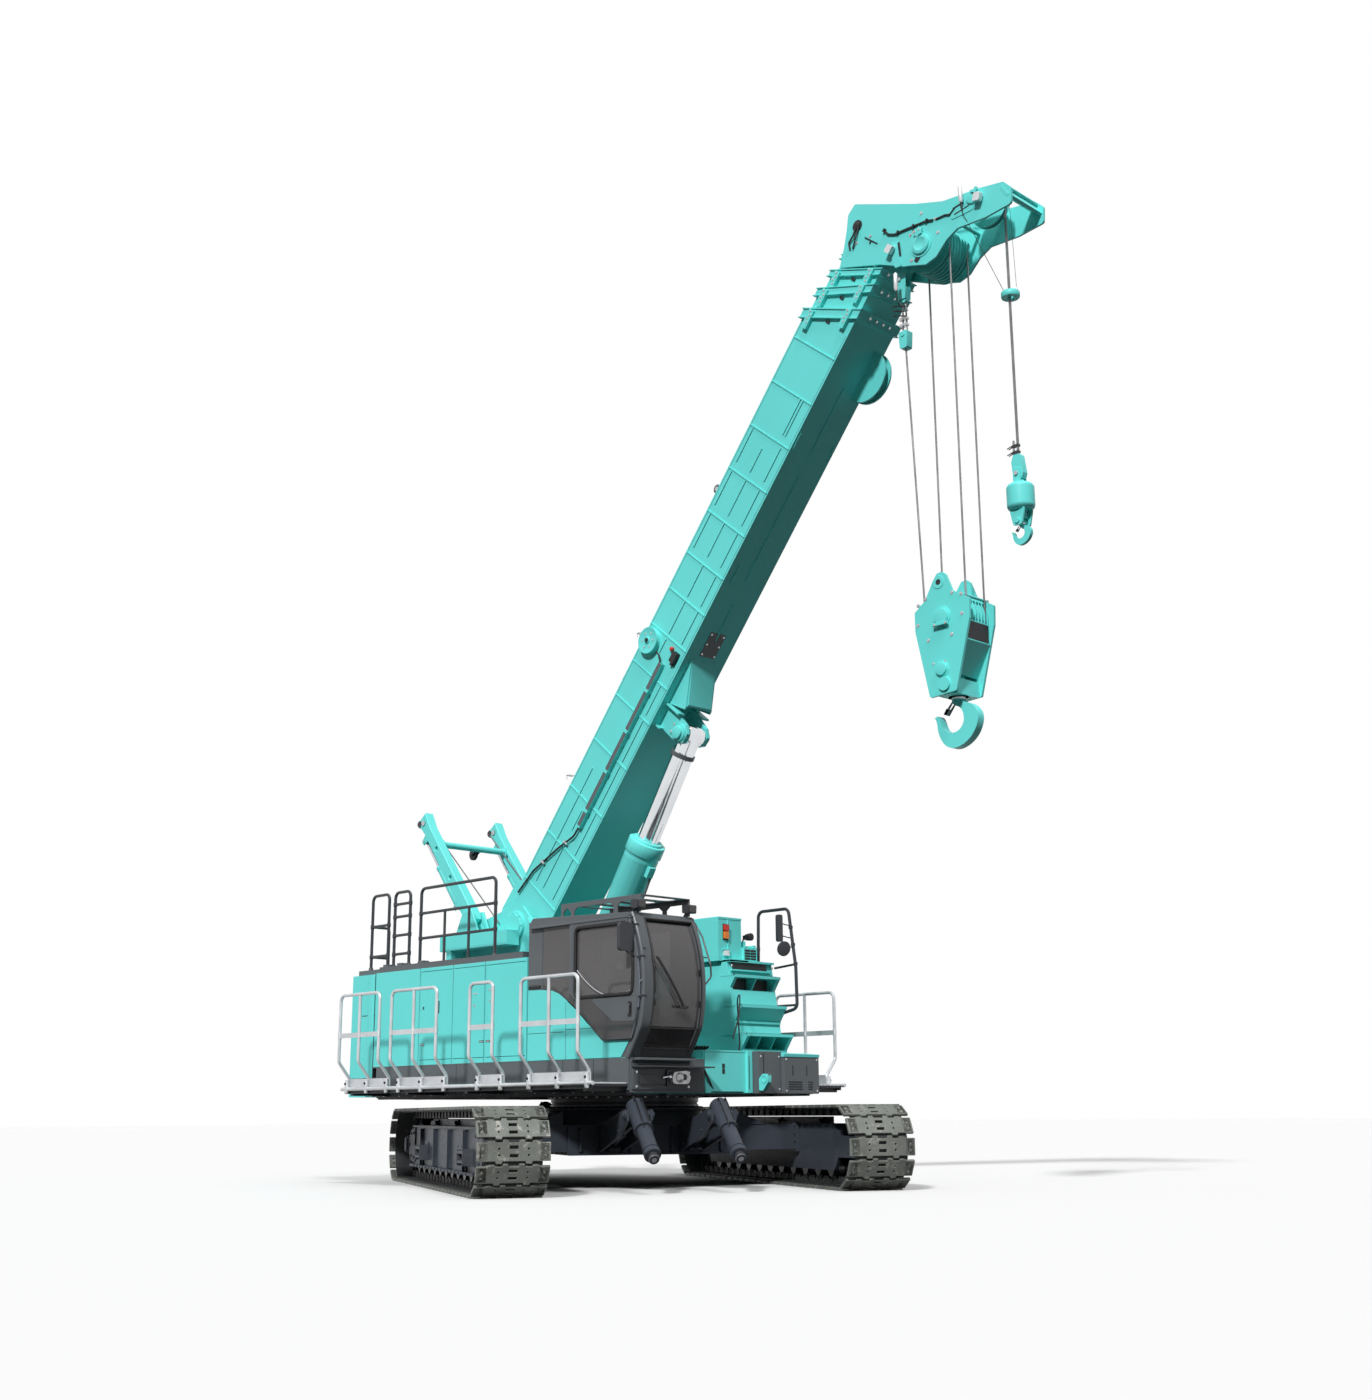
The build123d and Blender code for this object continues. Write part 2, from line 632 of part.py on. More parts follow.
mast_foot = (-2350, 3420)
mast_angle = 128
mast_length = 1900
mast_y = 620
MAST = Plane(
    origin=(slew_x + mast_foot[0], 0, mast_foot[1]),
    x_dir=(cos(radians(mast_angle)), 0, sin(radians(mast_angle))),
    z_dir=(-sin(radians(mast_angle)), 0, cos(radians(mast_angle))),
)
with BuildPart(UPPER) as mast_base:
    for side in (-1, 1):
        y = sorted((side * (mast_y - 110), side * (mast_y + 110)))
        block((-2950, -1500), y, (3000, 3200))
        for cheek in (-1, 1):
            middle = side * mast_y + cheek * 95
            plate(UPPER, ((-2600, 3200), (-2100, 3200), (-2250, 3500), (-2450, 3500)),
                  (middle - 15, middle + 15))
        block((-2800, -2700), y, (house_top, 3000))
        drum(UPPER, mast_foot, 40, (side * (mast_y - 110), side * (mast_y + 110)))
save(mast_base, "mast_base")
with BuildPart(MAST) as mast_arms:
    for side in (-1, 1):
        middle = side * mast_y
        plate(MAST, ((-70, -60), (0, -90), (mast_length - 250, -70), (mast_length, -110),
                     (mast_length, 110), (mast_length - 250, 80), (0, 110), (-70, 60)),
              (middle - 70, middle + 70))
        drum(MAST, (0, 0), 40 + seat, (middle - 80, middle + 80), mode=Mode.SUBTRACT)
        for reach in (350, mast_length - 300):
            block((reach - 30, reach + 30), (middle - 40, middle + 40), (60, 190))
        bar(MAST, (350, middle, 160), (mast_length - 300, middle, 160), 70)
    drum(MAST, (mast_length - 500, 0), 45, (-mast_y, mast_y))
save(mast_arms, "mast_arms")

# --- boom -----------------------------------------------------------------------------
rib_stations = (530, 1260, 1970, 2690, 3360, 3870, 4415, 4930, 5440, 6030, 6630, 7220, 7810, 8400)
rib_proud = 10
bore_past = 500           # how far the sections' bores run on past their open ends
half_base, half_wide = boom_sections[0][1] / 2, boom_sections[0][2] / 2
gusset_a = (3700, 4360)   # the box above the cylinder's bracket, along the boom
gusset_low = -720
ear_y = (150, 200)
reel_at = (4225, 246)
channel = (1650, 4100)
lug_at = (8370, -half_base)
lug_radius = 320


def wear_pads(index, top_end, height, width):
    """The pads in a section's mouth that carry the next section."""
    bore = (height / 2 - plate_boom, width / 2 - plate_boom)
    pad = (boom_sections[index + 1][1] / 2 + seat, boom_sections[index + 1][2] / 2 + seat)
    along = (top_end - 330, top_end - 150)
    for side in (-1, 1):
        block(along, (-150, 150), sorted((side * pad[0], side * (bore[0] + 2))))
        block(along, sorted((side * pad[1], side * (bore[1] + 2))), (-200, 200))


def base_fittings():
    """Ribs, cylinder bracket, hose channel and reel welded to the base section."""
    low = -half_base + 5
    for side in (-1, 1):
        face = sorted((side * (half_wide - 2), side * (half_wide + rib_proud)))
        for a in rib_stations:
            block((a - 8, a + 8), face, (low + 10, half_base - 15))
        plate(BOOM, ((3390, low), (3720, low), (3640, -840), (3560, -930), (3440, -930), (3370, -840)),
              (side * ear_y[0], side * ear_y[1]))
        flange = sorted((side * ear_y[0], side * 270))
        block((3690, 3715), flange, (-700, low))
        block((3380, 3400), flange, (-520, low))
        plate(BOOM, ((gusset_a[0] + 10, low), (gusset_a[1], low), (3830, gusset_low), (3790, gusset_low)),
              (side * 200, side * 225))
        drum(BOOM, eye_at, 110, (side * ear_y[1], side * (ear_y[1] + 25)))
    plate(BOOM, ((gusset_a[1] - 30, low), (gusset_a[1], low), (3860, gusset_low), (3830, gusset_low)),
          (-200, 200))
    block(channel, (-half_wide - 60, -half_wide + 2), (-170, -100))
    drum(BOOM, reel_at, 165, (-half_wide - 75, -half_wide + 2))
    for y in ((210, 235), (310, 335)):
        with BuildSketch(side_plane(BOOM, y[1])) as lug:
            with Locations(lug_at):
                Circle(lug_radius)
        extrude(lug.sketch, amount=y[1] - y[0], dir=-BOOM.y_dir)
        block((lug_at[0] - lug_radius, lug_at[0] + lug_radius), y, (low, 0), mode=Mode.SUBTRACT)
    for side in (-1, 1):
        foot = ((-330, 300), (-260, 480), (-60, 530), (390, 512), (470, half_base - 10), (470, 300))
        plate(BOOM, foot, (side * (half_wide - 2), side * (half_wide - 30)))


for index, (name, height, width, top_end, low_end, collar, inner) in enumerate(boom_sections):
    with BuildPart(BOOM) as section:
        outline = ((inner, -height / 2), (low_end, -height / 2), (top_end, height / 2),
                   (inner, height / 2))
        plate(BOOM, outline, (-width / 2, width / 2))
        if index == 0:
            base_fittings()
        rise = height / 2 + collar_rise
        half = width / 2 + collar_rise
        for back in (0, collar - collar_rib):
            band = ((low_end - back - collar_rib, -rise), (low_end - back, -rise),
                    (top_end - back, rise), (top_end - back - collar_rib, rise))
            plate(BOOM, band, (-half, half))
        rise -= collar_step
        half -= collar_step
        band = ((low_end - collar, -rise), (low_end, -rise), (top_end, rise), (top_end - collar, rise))
        plate(BOOM, band, (-half, half))
        hollow = height / 2 - plate_boom
        bore_start = inner + (30 if index else 900)
        plate(BOOM, ((bore_start, -hollow), (low_end + bore_past, -hollow), (low_end + bore_past, hollow),
                     (bore_start, hollow)),
              (-width / 2 + plate_boom, width / 2 - plate_boom), mode=Mode.SUBTRACT)
        if index < len(boom_sections) - 1:
            wear_pads(index, top_end, height, width)
        if index == 0:
            drum(BOOM, (0, 0), pin_radius + seat, (-width, width), mode=Mode.SUBTRACT)
    save(section, name)

head_inner = boom_sections[-1][2] / 2 + collar_rise
head_cheek = (
    (9565, -250), (9360, 250), (9600, 345), (9778, 433), (9944, 531), (10090, 513), (10270, -60),
    (10382, -415), (10530, -790), (10810, -1200), (10974, -1487), (10957, -1631), (10803, -1743),
    (10560, -1500), (10330, -1190), (10170, -1122), (9958, -1099), (9830, -1010), (9766, -850),
    (9700, -700), (9600, -330),
)
cheek_thick = 30
sheave_radius = 265       # at the bottom of the groove
main_rim = 300
sheave_width = 70
rope = 22
sheave_rows = (-165, -55, 55, 165)
with BuildPart(BOOM) as boom_head:
    for side in (-1, 1):
        y = (side * head_inner, side * (head_inner + cheek_thick))
        plate(BOOM, head_cheek, y, bend=35)
        drum(BOOM, main_pin, 120, (y[1], y[1] + side * 25))
        drum(BOOM, aux_pin, 80, (y[1], y[1] + side * 20))
    across = (-head_inner - 2, head_inner + 2)
    plate(BOOM, ((9660, 372), (9944, 505), (10060, 490), (10060, 470), (9944, 480), (9670, 350)), across)
    plate(BOOM, ((10225, 0), (10345, -380), (10325, -380), (10205, 0)), across)
    # rope guards, clear of both ropes at every boom angle
    drum(BOOM, (10400, -950), 25, across)
    drum(BOOM, (10945, -1530), 20, across)
save(boom_head, "boom_head")


def sheave(frame, at, bottom, rim, y):
    """One grooved rope sheave across the machine."""
    drum(frame, at, bottom, (y - sheave_width / 2, y + sheave_width / 2))
    for side in (-1, 1):
        drum(frame, at, rim, (y + side * sheave_width / 2, y + side * (sheave_width / 2 - 12)))


with BuildPart(BOOM) as main_sheaves:
    for y in sheave_rows:
        sheave(BOOM, main_pin, sheave_radius, main_rim, y)
    drum(BOOM, main_pin, 60, (-head_inner, head_inner))
save(main_sheaves, "main_sheaves")
aux_radius = 183
aux_rim = 240
with BuildPart(BOOM) as aux_sheave:
    sheave(BOOM, aux_pin, aux_radius, aux_rim, 0)
    drum(BOOM, aux_pin, 40, (-head_inner, head_inner))
save(aux_sheave, "aux_sheave")

# --- luffing cylinder -----------------------------------------------------------------
barrel_end = 2840
barrel_start = 150
piston_at = 1400
boss_half = 130
rod_radius = 140
barrel_radius = 225
gland = 160               # length of the ring at the barrel's open end


def round_part(frame, near, far, outer, inner=0):
    """A round bar or tube along the frame's X, between two places on it."""
    with BuildSketch(Plane(origin=frame.from_local_coords((near, 0, 0)), z_dir=frame.x_dir)) as ring:
        Circle(outer)
        if inner:
            Circle(inner, mode=Mode.SUBTRACT)
    extrude(ring.sketch, amount=far - near, dir=frame.x_dir)


with BuildPart(LUFF) as luff_barrel:
    round_part(LUFF, barrel_start, barrel_end, barrel_radius, rod_radius + running)
    round_part(LUFF, barrel_end - gland, barrel_end, barrel_radius + 17, rod_radius + seat)
    round_part(LUFF, barrel_end, barrel_end + 30, barrel_radius - 30, rod_radius + seat)
    drum(LUFF, (0, 0), 200, (-foot_y + 5, foot_y - 5))
    drum(LUFF, (0, 0), pin_radius + seat, (-foot_y, foot_y), mode=Mode.SUBTRACT)
save(luff_barrel, "luff_barrel")
with BuildPart(LUFF) as luff_rod:
    round_part(LUFF, piston_at, cylinder_length, rod_radius)
    drum(LUFF, (cylinder_length, 0), boss_half, (-boss_half, boss_half))
save(luff_rod, "luff_rod")

# --- falls, hook block and ball -------------------------------------------------------
main_x, main_z = on_boom(*main_pin)
block_pin_z = 6060
block_drop = 860          # from the sheaves' pin down to the hook's nut and collar
block_y = 205
cheek_out = 32
boss_out = 25
fall_x = sheave_radius + rope / 2 + seat
collar_z = block_pin_z - block_drop
block_cheek = (
    (-205, collar_z - 10), (150, collar_z + 15), (360, block_pin_z - 80), (370, block_pin_z + 140),
    (150, block_pin_z + 270), (70, block_pin_z + 470), (20, block_pin_z + 510),
    (-50, block_pin_z + 500), (-110, block_pin_z + 420), (-220, block_pin_z + 230),
    (-370, block_pin_z + 120), (-370, block_pin_z - 100),
)
with BuildPart(UPPER) as hook_block:
    for side in (-1, 1):
        plate(UPPER, [(main_x + x, z) for x, z in block_cheek],
              (side * block_y, side * (block_y + cheek_out)), bend=20)
        boss_y = (side * (block_y + cheek_out), side * (block_y + cheek_out + boss_out))
        drum(UPPER, (main_x, block_pin_z), 95, boss_y)
        drum(UPPER, (main_x, collar_z + 110), 75, boss_y)
    block((main_x - 130, main_x + 130), (-block_y, block_y), (collar_z, collar_z + 170))
    for side in (-1, 1):
        guard = ((side * 90, collar_z + 220), (side * 110, collar_z + 220),
                 (side * 300, block_pin_z - 300), (side * 280, block_pin_z - 300))
        plate(UPPER, [(main_x + x, z) for x, z in guard], (-block_y, block_y))
    drum(UPPER, (main_x, block_pin_z), 60, (-block_y, block_y))
save(hook_block, "hook_block")
with BuildPart(UPPER) as block_sheaves:
    for y in sheave_rows:
        sheave(UPPER, (main_x, block_pin_z), sheave_radius, main_rim, y)
    drum(UPPER, (main_x, block_pin_z), 60 + seat, (-block_y, block_y), mode=Mode.SUBTRACT)
save(block_sheaves, "block_sheaves")
with BuildPart(UPPER) as main_falls:
    for x, y in ((-fall_x, -165), (fall_x, -165), (-fall_x, 165), (fall_x, 165)):
        bar(UPPER, (main_x + x, y, block_pin_z), (main_x + x, y, main_z), rope)
save(main_falls, "main_falls")

# the middle of the main hook's bowl and of the ball's, under what carries them
hook_z = collar_z - 240
# a full-size hook's side view about the middle of its bowl; the shank stands in front of it
hook_lead = 55
neck_from = 205
hook_back = ((110, 240), (108, 205), (160, 170), (262, 120), (330, 20), (318, -100), (235, -225),
             (110, -300), (0, -318), (-95, -285), (-165, -200), (-200, -100), (-215, 0), (-240, 48))
hook_bowl = ((-195, 62), (-160, 0), (-140, -60), (-90, -122), (0, -150), (90, -122), (145, -40),
             (140, 50), (95, 118), (20, 160), (2, 200), (0, 240))


def hook(at, size, top, shank, thick):
    """A forged hook: its bowl's middle at x and z, the shank up to a given height."""
    x, z = at
    with BuildSketch(side_plane(UPPER, thick / 2)) as forging:
        with BuildLine():
            back = [(x + size * px, z + size * pz) for px, pz in hook_back]
            bowl = [(x + size * px, z + size * pz) for px, pz in hook_bowl]
            Spline(*back)
            Line(back[-1], bowl[0])
            Spline(*bowl)
            Line(bowl[-1], back[0])
        make_face()
    extrude(forging.sketch, amount=thick, dir=-UPPER.y_dir)
    foot = z + size * neck_from
    with BuildSketch(Plane((slew_x + x + size * hook_lead, 0, foot))) as neck:
        Circle(shank)
    extrude(neck.sketch, amount=top - foot, dir=(0, 0, 1))


with BuildPart(UPPER) as main_hook:
    hook((main_x - hook_lead, hook_z), 1, collar_z - seat, 62, 110)
save(main_hook, "main_hook")

aux_x, aux_z = on_boom(*aux_pin)
ball_z = 7240
ball_radius = 150
ball_collar = 90          # the swivel under the ball
ball_hook_size = 0.42
ball_hook_z = ball_z - ball_radius - ball_collar - 160
ball_rope_x = aux_x + aux_radius + rope / 2 + seat
with BuildPart(UPPER) as aux_rope:
    bar(UPPER, (ball_rope_x, 0, ball_z + 420), (ball_rope_x, 0, aux_z), rope)
save(aux_rope, "aux_rope")
with BuildPart(UPPER) as ball:
    with BuildSketch(Plane((slew_x + ball_rope_x, 0, ball_z - ball_radius))):
        Circle(ball_radius)
    extrude(amount=2 * ball_radius)
    fillet(ball.edges(), 55)
    with BuildSketch(Plane((slew_x + ball_rope_x, 0, ball_z))):
        Circle(32)
    extrude(amount=260)
    block((ball_rope_x - 45, ball_rope_x + 45), (-40, 40), (ball_z + 200, ball_z + 420))
    with BuildSketch(Plane((slew_x + ball_rope_x, 0, ball_z - ball_radius - ball_collar))):
        Circle(60)
    extrude(amount=ball_collar + 5)
save(ball, "ball")
with BuildPart(UPPER) as ball_hook:
    hook((ball_rope_x - hook_lead * ball_hook_size, ball_hook_z), ball_hook_size,
         ball_z - ball_radius - ball_collar - seat, 26, 46)
save(ball_hook, "ball_hook")
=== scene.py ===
"""A telescopic-boom crawler crane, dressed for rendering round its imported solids.

Metres, in the row frame: +X the way the cab and boom face, +Y to the left, +Z up.
"""

from math import atan2, cos, hypot, pi, radians, sin, tau

import bmesh
import bpy
from mathutils import Matrix, Vector


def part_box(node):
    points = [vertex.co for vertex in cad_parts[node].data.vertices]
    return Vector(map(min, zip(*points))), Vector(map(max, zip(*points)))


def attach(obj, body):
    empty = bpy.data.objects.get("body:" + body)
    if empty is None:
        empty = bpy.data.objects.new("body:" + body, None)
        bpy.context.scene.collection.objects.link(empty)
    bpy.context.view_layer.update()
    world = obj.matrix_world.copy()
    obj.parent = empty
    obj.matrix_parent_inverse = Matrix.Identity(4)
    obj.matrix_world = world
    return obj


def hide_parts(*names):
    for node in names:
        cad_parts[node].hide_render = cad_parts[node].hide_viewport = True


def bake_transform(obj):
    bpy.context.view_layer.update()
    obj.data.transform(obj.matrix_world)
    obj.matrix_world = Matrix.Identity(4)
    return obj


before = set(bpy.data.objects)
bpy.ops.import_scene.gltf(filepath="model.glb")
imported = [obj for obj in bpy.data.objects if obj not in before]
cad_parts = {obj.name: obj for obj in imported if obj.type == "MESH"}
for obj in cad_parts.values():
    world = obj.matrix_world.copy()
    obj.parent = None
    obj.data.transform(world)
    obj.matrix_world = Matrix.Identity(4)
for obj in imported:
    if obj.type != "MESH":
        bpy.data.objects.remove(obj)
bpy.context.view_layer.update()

# --- Tracks ---
# Two endless belts of cast steel shoes, bolted to forged links that are pinned together.
# A shoe's fingers reach into its neighbour's notches; worn bare steel shows on the ribs.
along_x, along_y, up = (1, 0, 0), (0, 1, 0), (0, 0, 1)
slew_x = -1.335
slew_angle = radians(26.67)
UPPER = Matrix.Translation((slew_x, 0, 0))
LOWER = UPPER @ Matrix.Rotation(-slew_angle, 4, "Z")


def raised(pin, angle):
    """A frame on the upper with its origin at a pin (x, z) and its x along a raised member."""
    return UPPER @ Matrix.Translation((pin[0], 0, pin[1])) @ Matrix.Rotation(-angle, 4, "Y")


class Weldment:
    """Cut, bent and turned pieces gathered in one of the crane's frames, as one mesh."""

    def __init__(self, axes, coat):
        self.axes, self.coat = axes, coat
        self.points, self.faces, self.finish = [], [], []

    def add(self, points, faces, at=None):
        base = len(self.points)
        place = self.axes @ at if at else self.axes
        self.points += [place @ Vector(point) for point in points]
        self.faces += [[base + i for i in face] for face in faces]
        self.finish += [self.coat] * len(faces)

    def box(self, x, y, z, at=None):
        corners = [(a, b, c) for c in sorted(z) for b in sorted(y) for a in sorted(x)]
        sides = ((0, 2, 3, 1), (4, 5, 7, 6), (0, 1, 5, 4), (2, 6, 7, 3), (0, 4, 6, 2), (1, 3, 7, 5))
        self.add(corners, sides, at)

    def prism(self, outline, span, across="y", at=None):
        """A plate cut to an outline: side view (x, z) across y, plan (x, y) or end (y, z)."""
        order = {"y": (0, 2, 1), "z": (0, 1, 2), "x": (2, 0, 1)}[across]
        count = len(outline)
        points = []
        for level in sorted(span):
            for u, v in outline:
                flat = (u, v, level)
                points.append([flat[i] for i in order])
        faces = [list(range(count)), list(range(2 * count - 1, count - 1, -1))]
        faces += [(i, (i + 1) % count, (i + 1) % count + count, i + count) for i in range(count)]
        self.add(points, faces, at)

    def turned(self, at, along, profile, sides=24, closed=False):
        """A turned piece: rows of (distance along the axis, radius) from the point at."""
        axis = Vector(along).normalized()
        side = axis.orthogonal().normalized()
        other = axis.cross(side)
        points = []
        for reach, radius in profile:
            for k in range(sides):
                turn = tau * (k + 0.5) / sides
                points.append(Vector(at) + axis * reach + (side * cos(turn) + other * sin(turn)) * radius)
        rows = len(profile)
        faces = []
        for row in range(rows if closed else rows - 1):
            near, far = row * sides, (row + 1) % rows * sides
            faces += [(near + k, near + (k + 1) % sides, far + (k + 1) % sides, far + k)
                      for k in range(sides)]
        if not closed:
            faces += [list(range(sides))[::-1], list(range((rows - 1) * sides, rows * sides))]
        self.add(points, faces)

    def pin(self, at, along, radius, length, sides=16):
        self.turned(at, along, ((0, radius), (length, radius)), sides)

    def bolt(self, at, out, size=0.012):
        """A washer and a hexagon head of that half width, standing on a face."""
        self.turned(at, out, ((-0.002, 1.7 * size), (0.25 * size, 1.7 * size)), 12)
        self.turned(at, out, ((0, 1.15 * size), (0.9 * size, 1.15 * size), (1.05 * size, size)), 6)

    def bolts(self, at, out, radius, count, size):
        """A ring of bolts round a point on a face."""
        for k in range(count):
            u, v = radius * cos(tau * k / count), radius * sin(tau * k / count)
            self.bolt((at[0] + u, at[1] + v * abs(out[2]), at[2] + v * abs(out[1])), out, size)

    def tube(self, path, radius, bend=0, sides=10, steps=6):
        """A tube or hose along points, each corner bent to a radius."""
        line = rounded([Vector(point) for point in path], bend, steps)
        ahead = (line[1] - line[0]).normalized()
        side = ahead.orthogonal().normalized()
        points, last = [], len(line) - 1
        for i, here in enumerate(line):
            ahead = (line[min(i + 1, last)] - line[max(i - 1, 0)]).normalized()
            side = (side - ahead * side.dot(ahead)).normalized()
            other = ahead.cross(side)
            for k in range(sides):
                turn = tau * k / sides
                points.append(here + (side * cos(turn) + other * sin(turn)) * radius)
        faces = [(i * sides + k, i * sides + (k + 1) % sides, (i + 1) * sides + (k + 1) % sides,
                  (i + 1) * sides + k) for i in range(last) for k in range(sides)]
        faces += [list(range(sides))[::-1], list(range(last * sides, (last + 1) * sides))]
        self.add(points, faces)

    def fit(self, name, body, slot, edge=0.003, stands_for=()):
        """Makes the mesh, breaks its sharp edges and fixes it to a body."""
        mesh = bpy.data.meshes.new(name)
        mesh.from_pydata(self.points, [], self.faces)
        finishes = list(dict.fromkeys(self.finish))
        for finish in finishes:
            mesh.materials.append(finish)
        mesh.polygons.foreach_set("material_index", [finishes.index(finish) for finish in self.finish])
        cleaned = bmesh.new()
        cleaned.from_mesh(mesh)
        bmesh.ops.recalc_face_normals(cleaned, faces=cleaned.faces)
        cleaned.to_mesh(mesh)
        cleaned.free()
        mesh.shade_smooth()
        mesh.set_sharp_from_angle(angle=radians(33))
        piece = placed(name, mesh)
        if edge:
            broken = piece.modifiers.new("broken edges", "BEVEL")
            broken.width, broken.segments, broken.angle_limit = edge, 1, radians(40)
            broken.harden_normals = True
        if body:
            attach(piece, body)
        if stands_for:
            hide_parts(*stands_for)
        return piece


def placed(name, data):
    """An object with that data, in the scene."""
    made = bpy.data.objects.new(name, data)
    bpy.context.scene.collection.objects.link(made)
    return made


def rounded(path, radius, steps=6):
    """Points of a path with its corners turned into arcs of at most that radius."""
    if radius <= 0 or len(path) < 3:
        return list(path)
    line = [path[0]]
    for before, corner, after in zip(path, path[1:], path[2:]):
        back, on = (before - corner), (after - corner)
        turn = back.angle(on)
        if turn > pi - 0.02:
            line.append(corner)
            continue
        reach = min(radius * cos(turn / 2) / sin(turn / 2), 0.45 * back.length, 0.45 * on.length)
        first, last = corner + back.normalized() * reach, corner + on.normalized() * reach
        for k in range(steps + 1):
            t = k / steps
            line.append(first * (1 - t) ** 2 + corner * 2 * t * (1 - t) + last * t ** 2)
    line.append(path[-1])
    return line


def eased(outline, radius, steps=3):
    """A closed outline with its corners rounded."""
    path = [Vector((u, v, 0)) for u, v in outline]
    loop = []
    for i, corner in enumerate(path):
        before, after = path[i - 1], path[(i + 1) % len(path)]
        back, on = before - corner, after - corner
        half = back.angle(on) / 2
        reach = min(radius * abs(cos(half)) / sin(half), 0.45 * back.length, 0.45 * on.length)
        first, last = corner + back.normalized() * reach, corner + on.normalized() * reach
        for k in range(steps + 1):
            t = k / steps
            spot = first * (1 - t) ** 2 + corner * 2 * t * (1 - t) + last * t ** 2
            loop.append((spot.x, spot.y))
    return loop


def about(middle, half):
    return middle - half, middle + half


def rectangle(u, v):
    return [(u[0], v[0]), (u[1], v[0]), (u[1], v[1]), (u[0], v[1])]


def taper(u, low, high):
    """Four corners round a middle line, from (level, half width) to (level, half width)."""
    return [(u - low[1], low[0]), (u + low[1], low[0]), (u + high[1], high[0]), (u - high[1], high[0])]


def circle(u, v, radius, sides=20):
    return [(u + radius * cos(tau * k / sides), v + radius * sin(tau * k / sides)) for k in range(sides)]


def flame_cut(outline, holes, thick, edge):
    """A plate with holes, flat on its own x and y, as points and faces to add anywhere."""
    curve = bpy.data.curves.new("blank", "CURVE")
    curve.dimensions, curve.fill_mode = "2D", "BOTH"
    curve.extrude, curve.bevel_depth, curve.bevel_resolution = thick / 2 - edge, edge, 0
    curve.offset = -edge
    for loop in (outline, *holes):
        spline = curve.splines.new("POLY")
        spline.points.add(len(loop) - 1)
        for point, (u, v) in zip(spline.points, loop):
            point.co = (u, v, 0, 1)
        spline.use_cyclic_u = True
    holder = placed("blank", curve)
    bpy.context.view_layer.update()
    mesh = bpy.data.meshes.new_from_object(holder)
    welded = bmesh.new()
    welded.from_mesh(mesh)
    bmesh.ops.remove_doubles(welded, verts=welded.verts, dist=1e-5)
    points = [tuple(v.co) for v in welded.verts]
    faces = [[v.index for v in f.verts] for f in welded.faces]
    welded.free()
    bpy.data.objects.remove(holder)
    bpy.data.curves.remove(curve)
    bpy.data.meshes.remove(mesh)
    return points, faces


def set_inputs(node, **values):
    """Sets a shader node's inputs by their names, with _ for a space."""
    for name, value in values.items():
        node.inputs[name.replace("_", " ")].default_value = value
    return node


def coat_of(name, colour, rough, metal=0, mottle=0.06, grain=0.015, patch=0.8, fine=140, worn=None,
            worn_share=0, specular=0.35):
    """A finish: its colour drifts over patches and grain, and wear shows through in places."""
    material = bpy.data.materials.new(name)
    material.use_nodes = True
    nodes, links = material.node_tree.nodes, material.node_tree.links
    shader = nodes["Principled BSDF"]
    place = nodes.new("ShaderNodeTexCoord")

    def noise(scale, detail, roughness=0.55):
        made = set_inputs(nodes.new("ShaderNodeTexNoise"), Scale=scale, Detail=detail, Roughness=roughness)
        links.new(place.outputs["Object"], made.inputs["Vector"])
        return made.outputs["Fac"]

    def ramp(source, low, high, first, last):
        made = set_inputs(nodes.new("ShaderNodeMapRange"), From_Min=low, From_Max=high, To_Min=first,
                          To_Max=last)
        links.new(source, made.inputs["Value"])
        return made.outputs["Result"]

    drift = set_inputs(nodes.new("ShaderNodeHueSaturation"), Color=(*colour, 1))
    links.new(ramp(noise(patch, 4), 0.3, 0.7, 1 - mottle, 1 + mottle), drift.inputs["Value"])
    tone = drift.outputs["Color"]
    if worn:
        mixed = nodes.new("ShaderNodeMix")
        mixed.data_type = "RGBA"
        set_inputs(mixed, B=(*worn, 1))
        links.new(tone, mixed.inputs["A"])
        scuffs = noise(9, 6, 0.7)
        links.new(ramp(scuffs, 0.72 - worn_share, 0.8 - worn_share, 0, 1), mixed.inputs["Factor"])
        tone = mixed.outputs["Result"]
    links.new(tone, shader.inputs["Base Color"])
    links.new(ramp(noise(fine / 12, 3), 0.3, 0.7, rough - 0.06, rough + 0.06), shader.inputs["Roughness"])
    bump = set_inputs(nodes.new("ShaderNodeBump"), Strength=grain, Distance=0.01)
    links.new(noise(fine, 2), bump.inputs["Height"])
    links.new(bump.outputs["Normal"], shader.inputs["Normal"])
    set_inputs(shader, Metallic=metal, Specular_IOR_Level=specular)
    return material


shoe_steel = coat_of("shoe_steel", (0.15, 0.16, 0.145), 0.55, 0.35, 0.22, 0.35, 3, 60, (0.3, 0.3, 0.27),
                     0.16)
link_steel = coat_of("link_steel", (0.035, 0.036, 0.038), 0.6, 0.3, 0.2, 0.3, 4, 60, (0.12, 0.11, 0.09),
                     0.1)

track_mid = 2.0595
axle_z = 0.4665
shoe_plate = 0.034
belt_radius = axle_z - shoe_plate
straight_shoes, bend_shoes = 24, 6
shoe_pitch = pi * belt_radius / bend_shoes
wheel_x = straight_shoes * shoe_pitch / 2
shoe_half = 0.3875


def on_loop(reach):
    """Where the belt is after that length: its place in the side view and its heading."""
    bend = pi * belt_radius
    straight = 2 * wheel_x
    reach %= 2 * (bend + straight)
    if reach < straight:
        return wheel_x - reach, axle_z + belt_radius, 0
    reach -= straight
    if reach < bend:
        turn = reach / belt_radius
        return -wheel_x - belt_radius * sin(turn), axle_z + belt_radius * cos(turn), turn
    reach -= bend
    if reach < straight:
        return -wheel_x + reach, axle_z - belt_radius, pi
    turn = (reach - straight) / belt_radius
    return wheel_x + belt_radius * sin(turn), axle_z - belt_radius * cos(turn), pi + turn


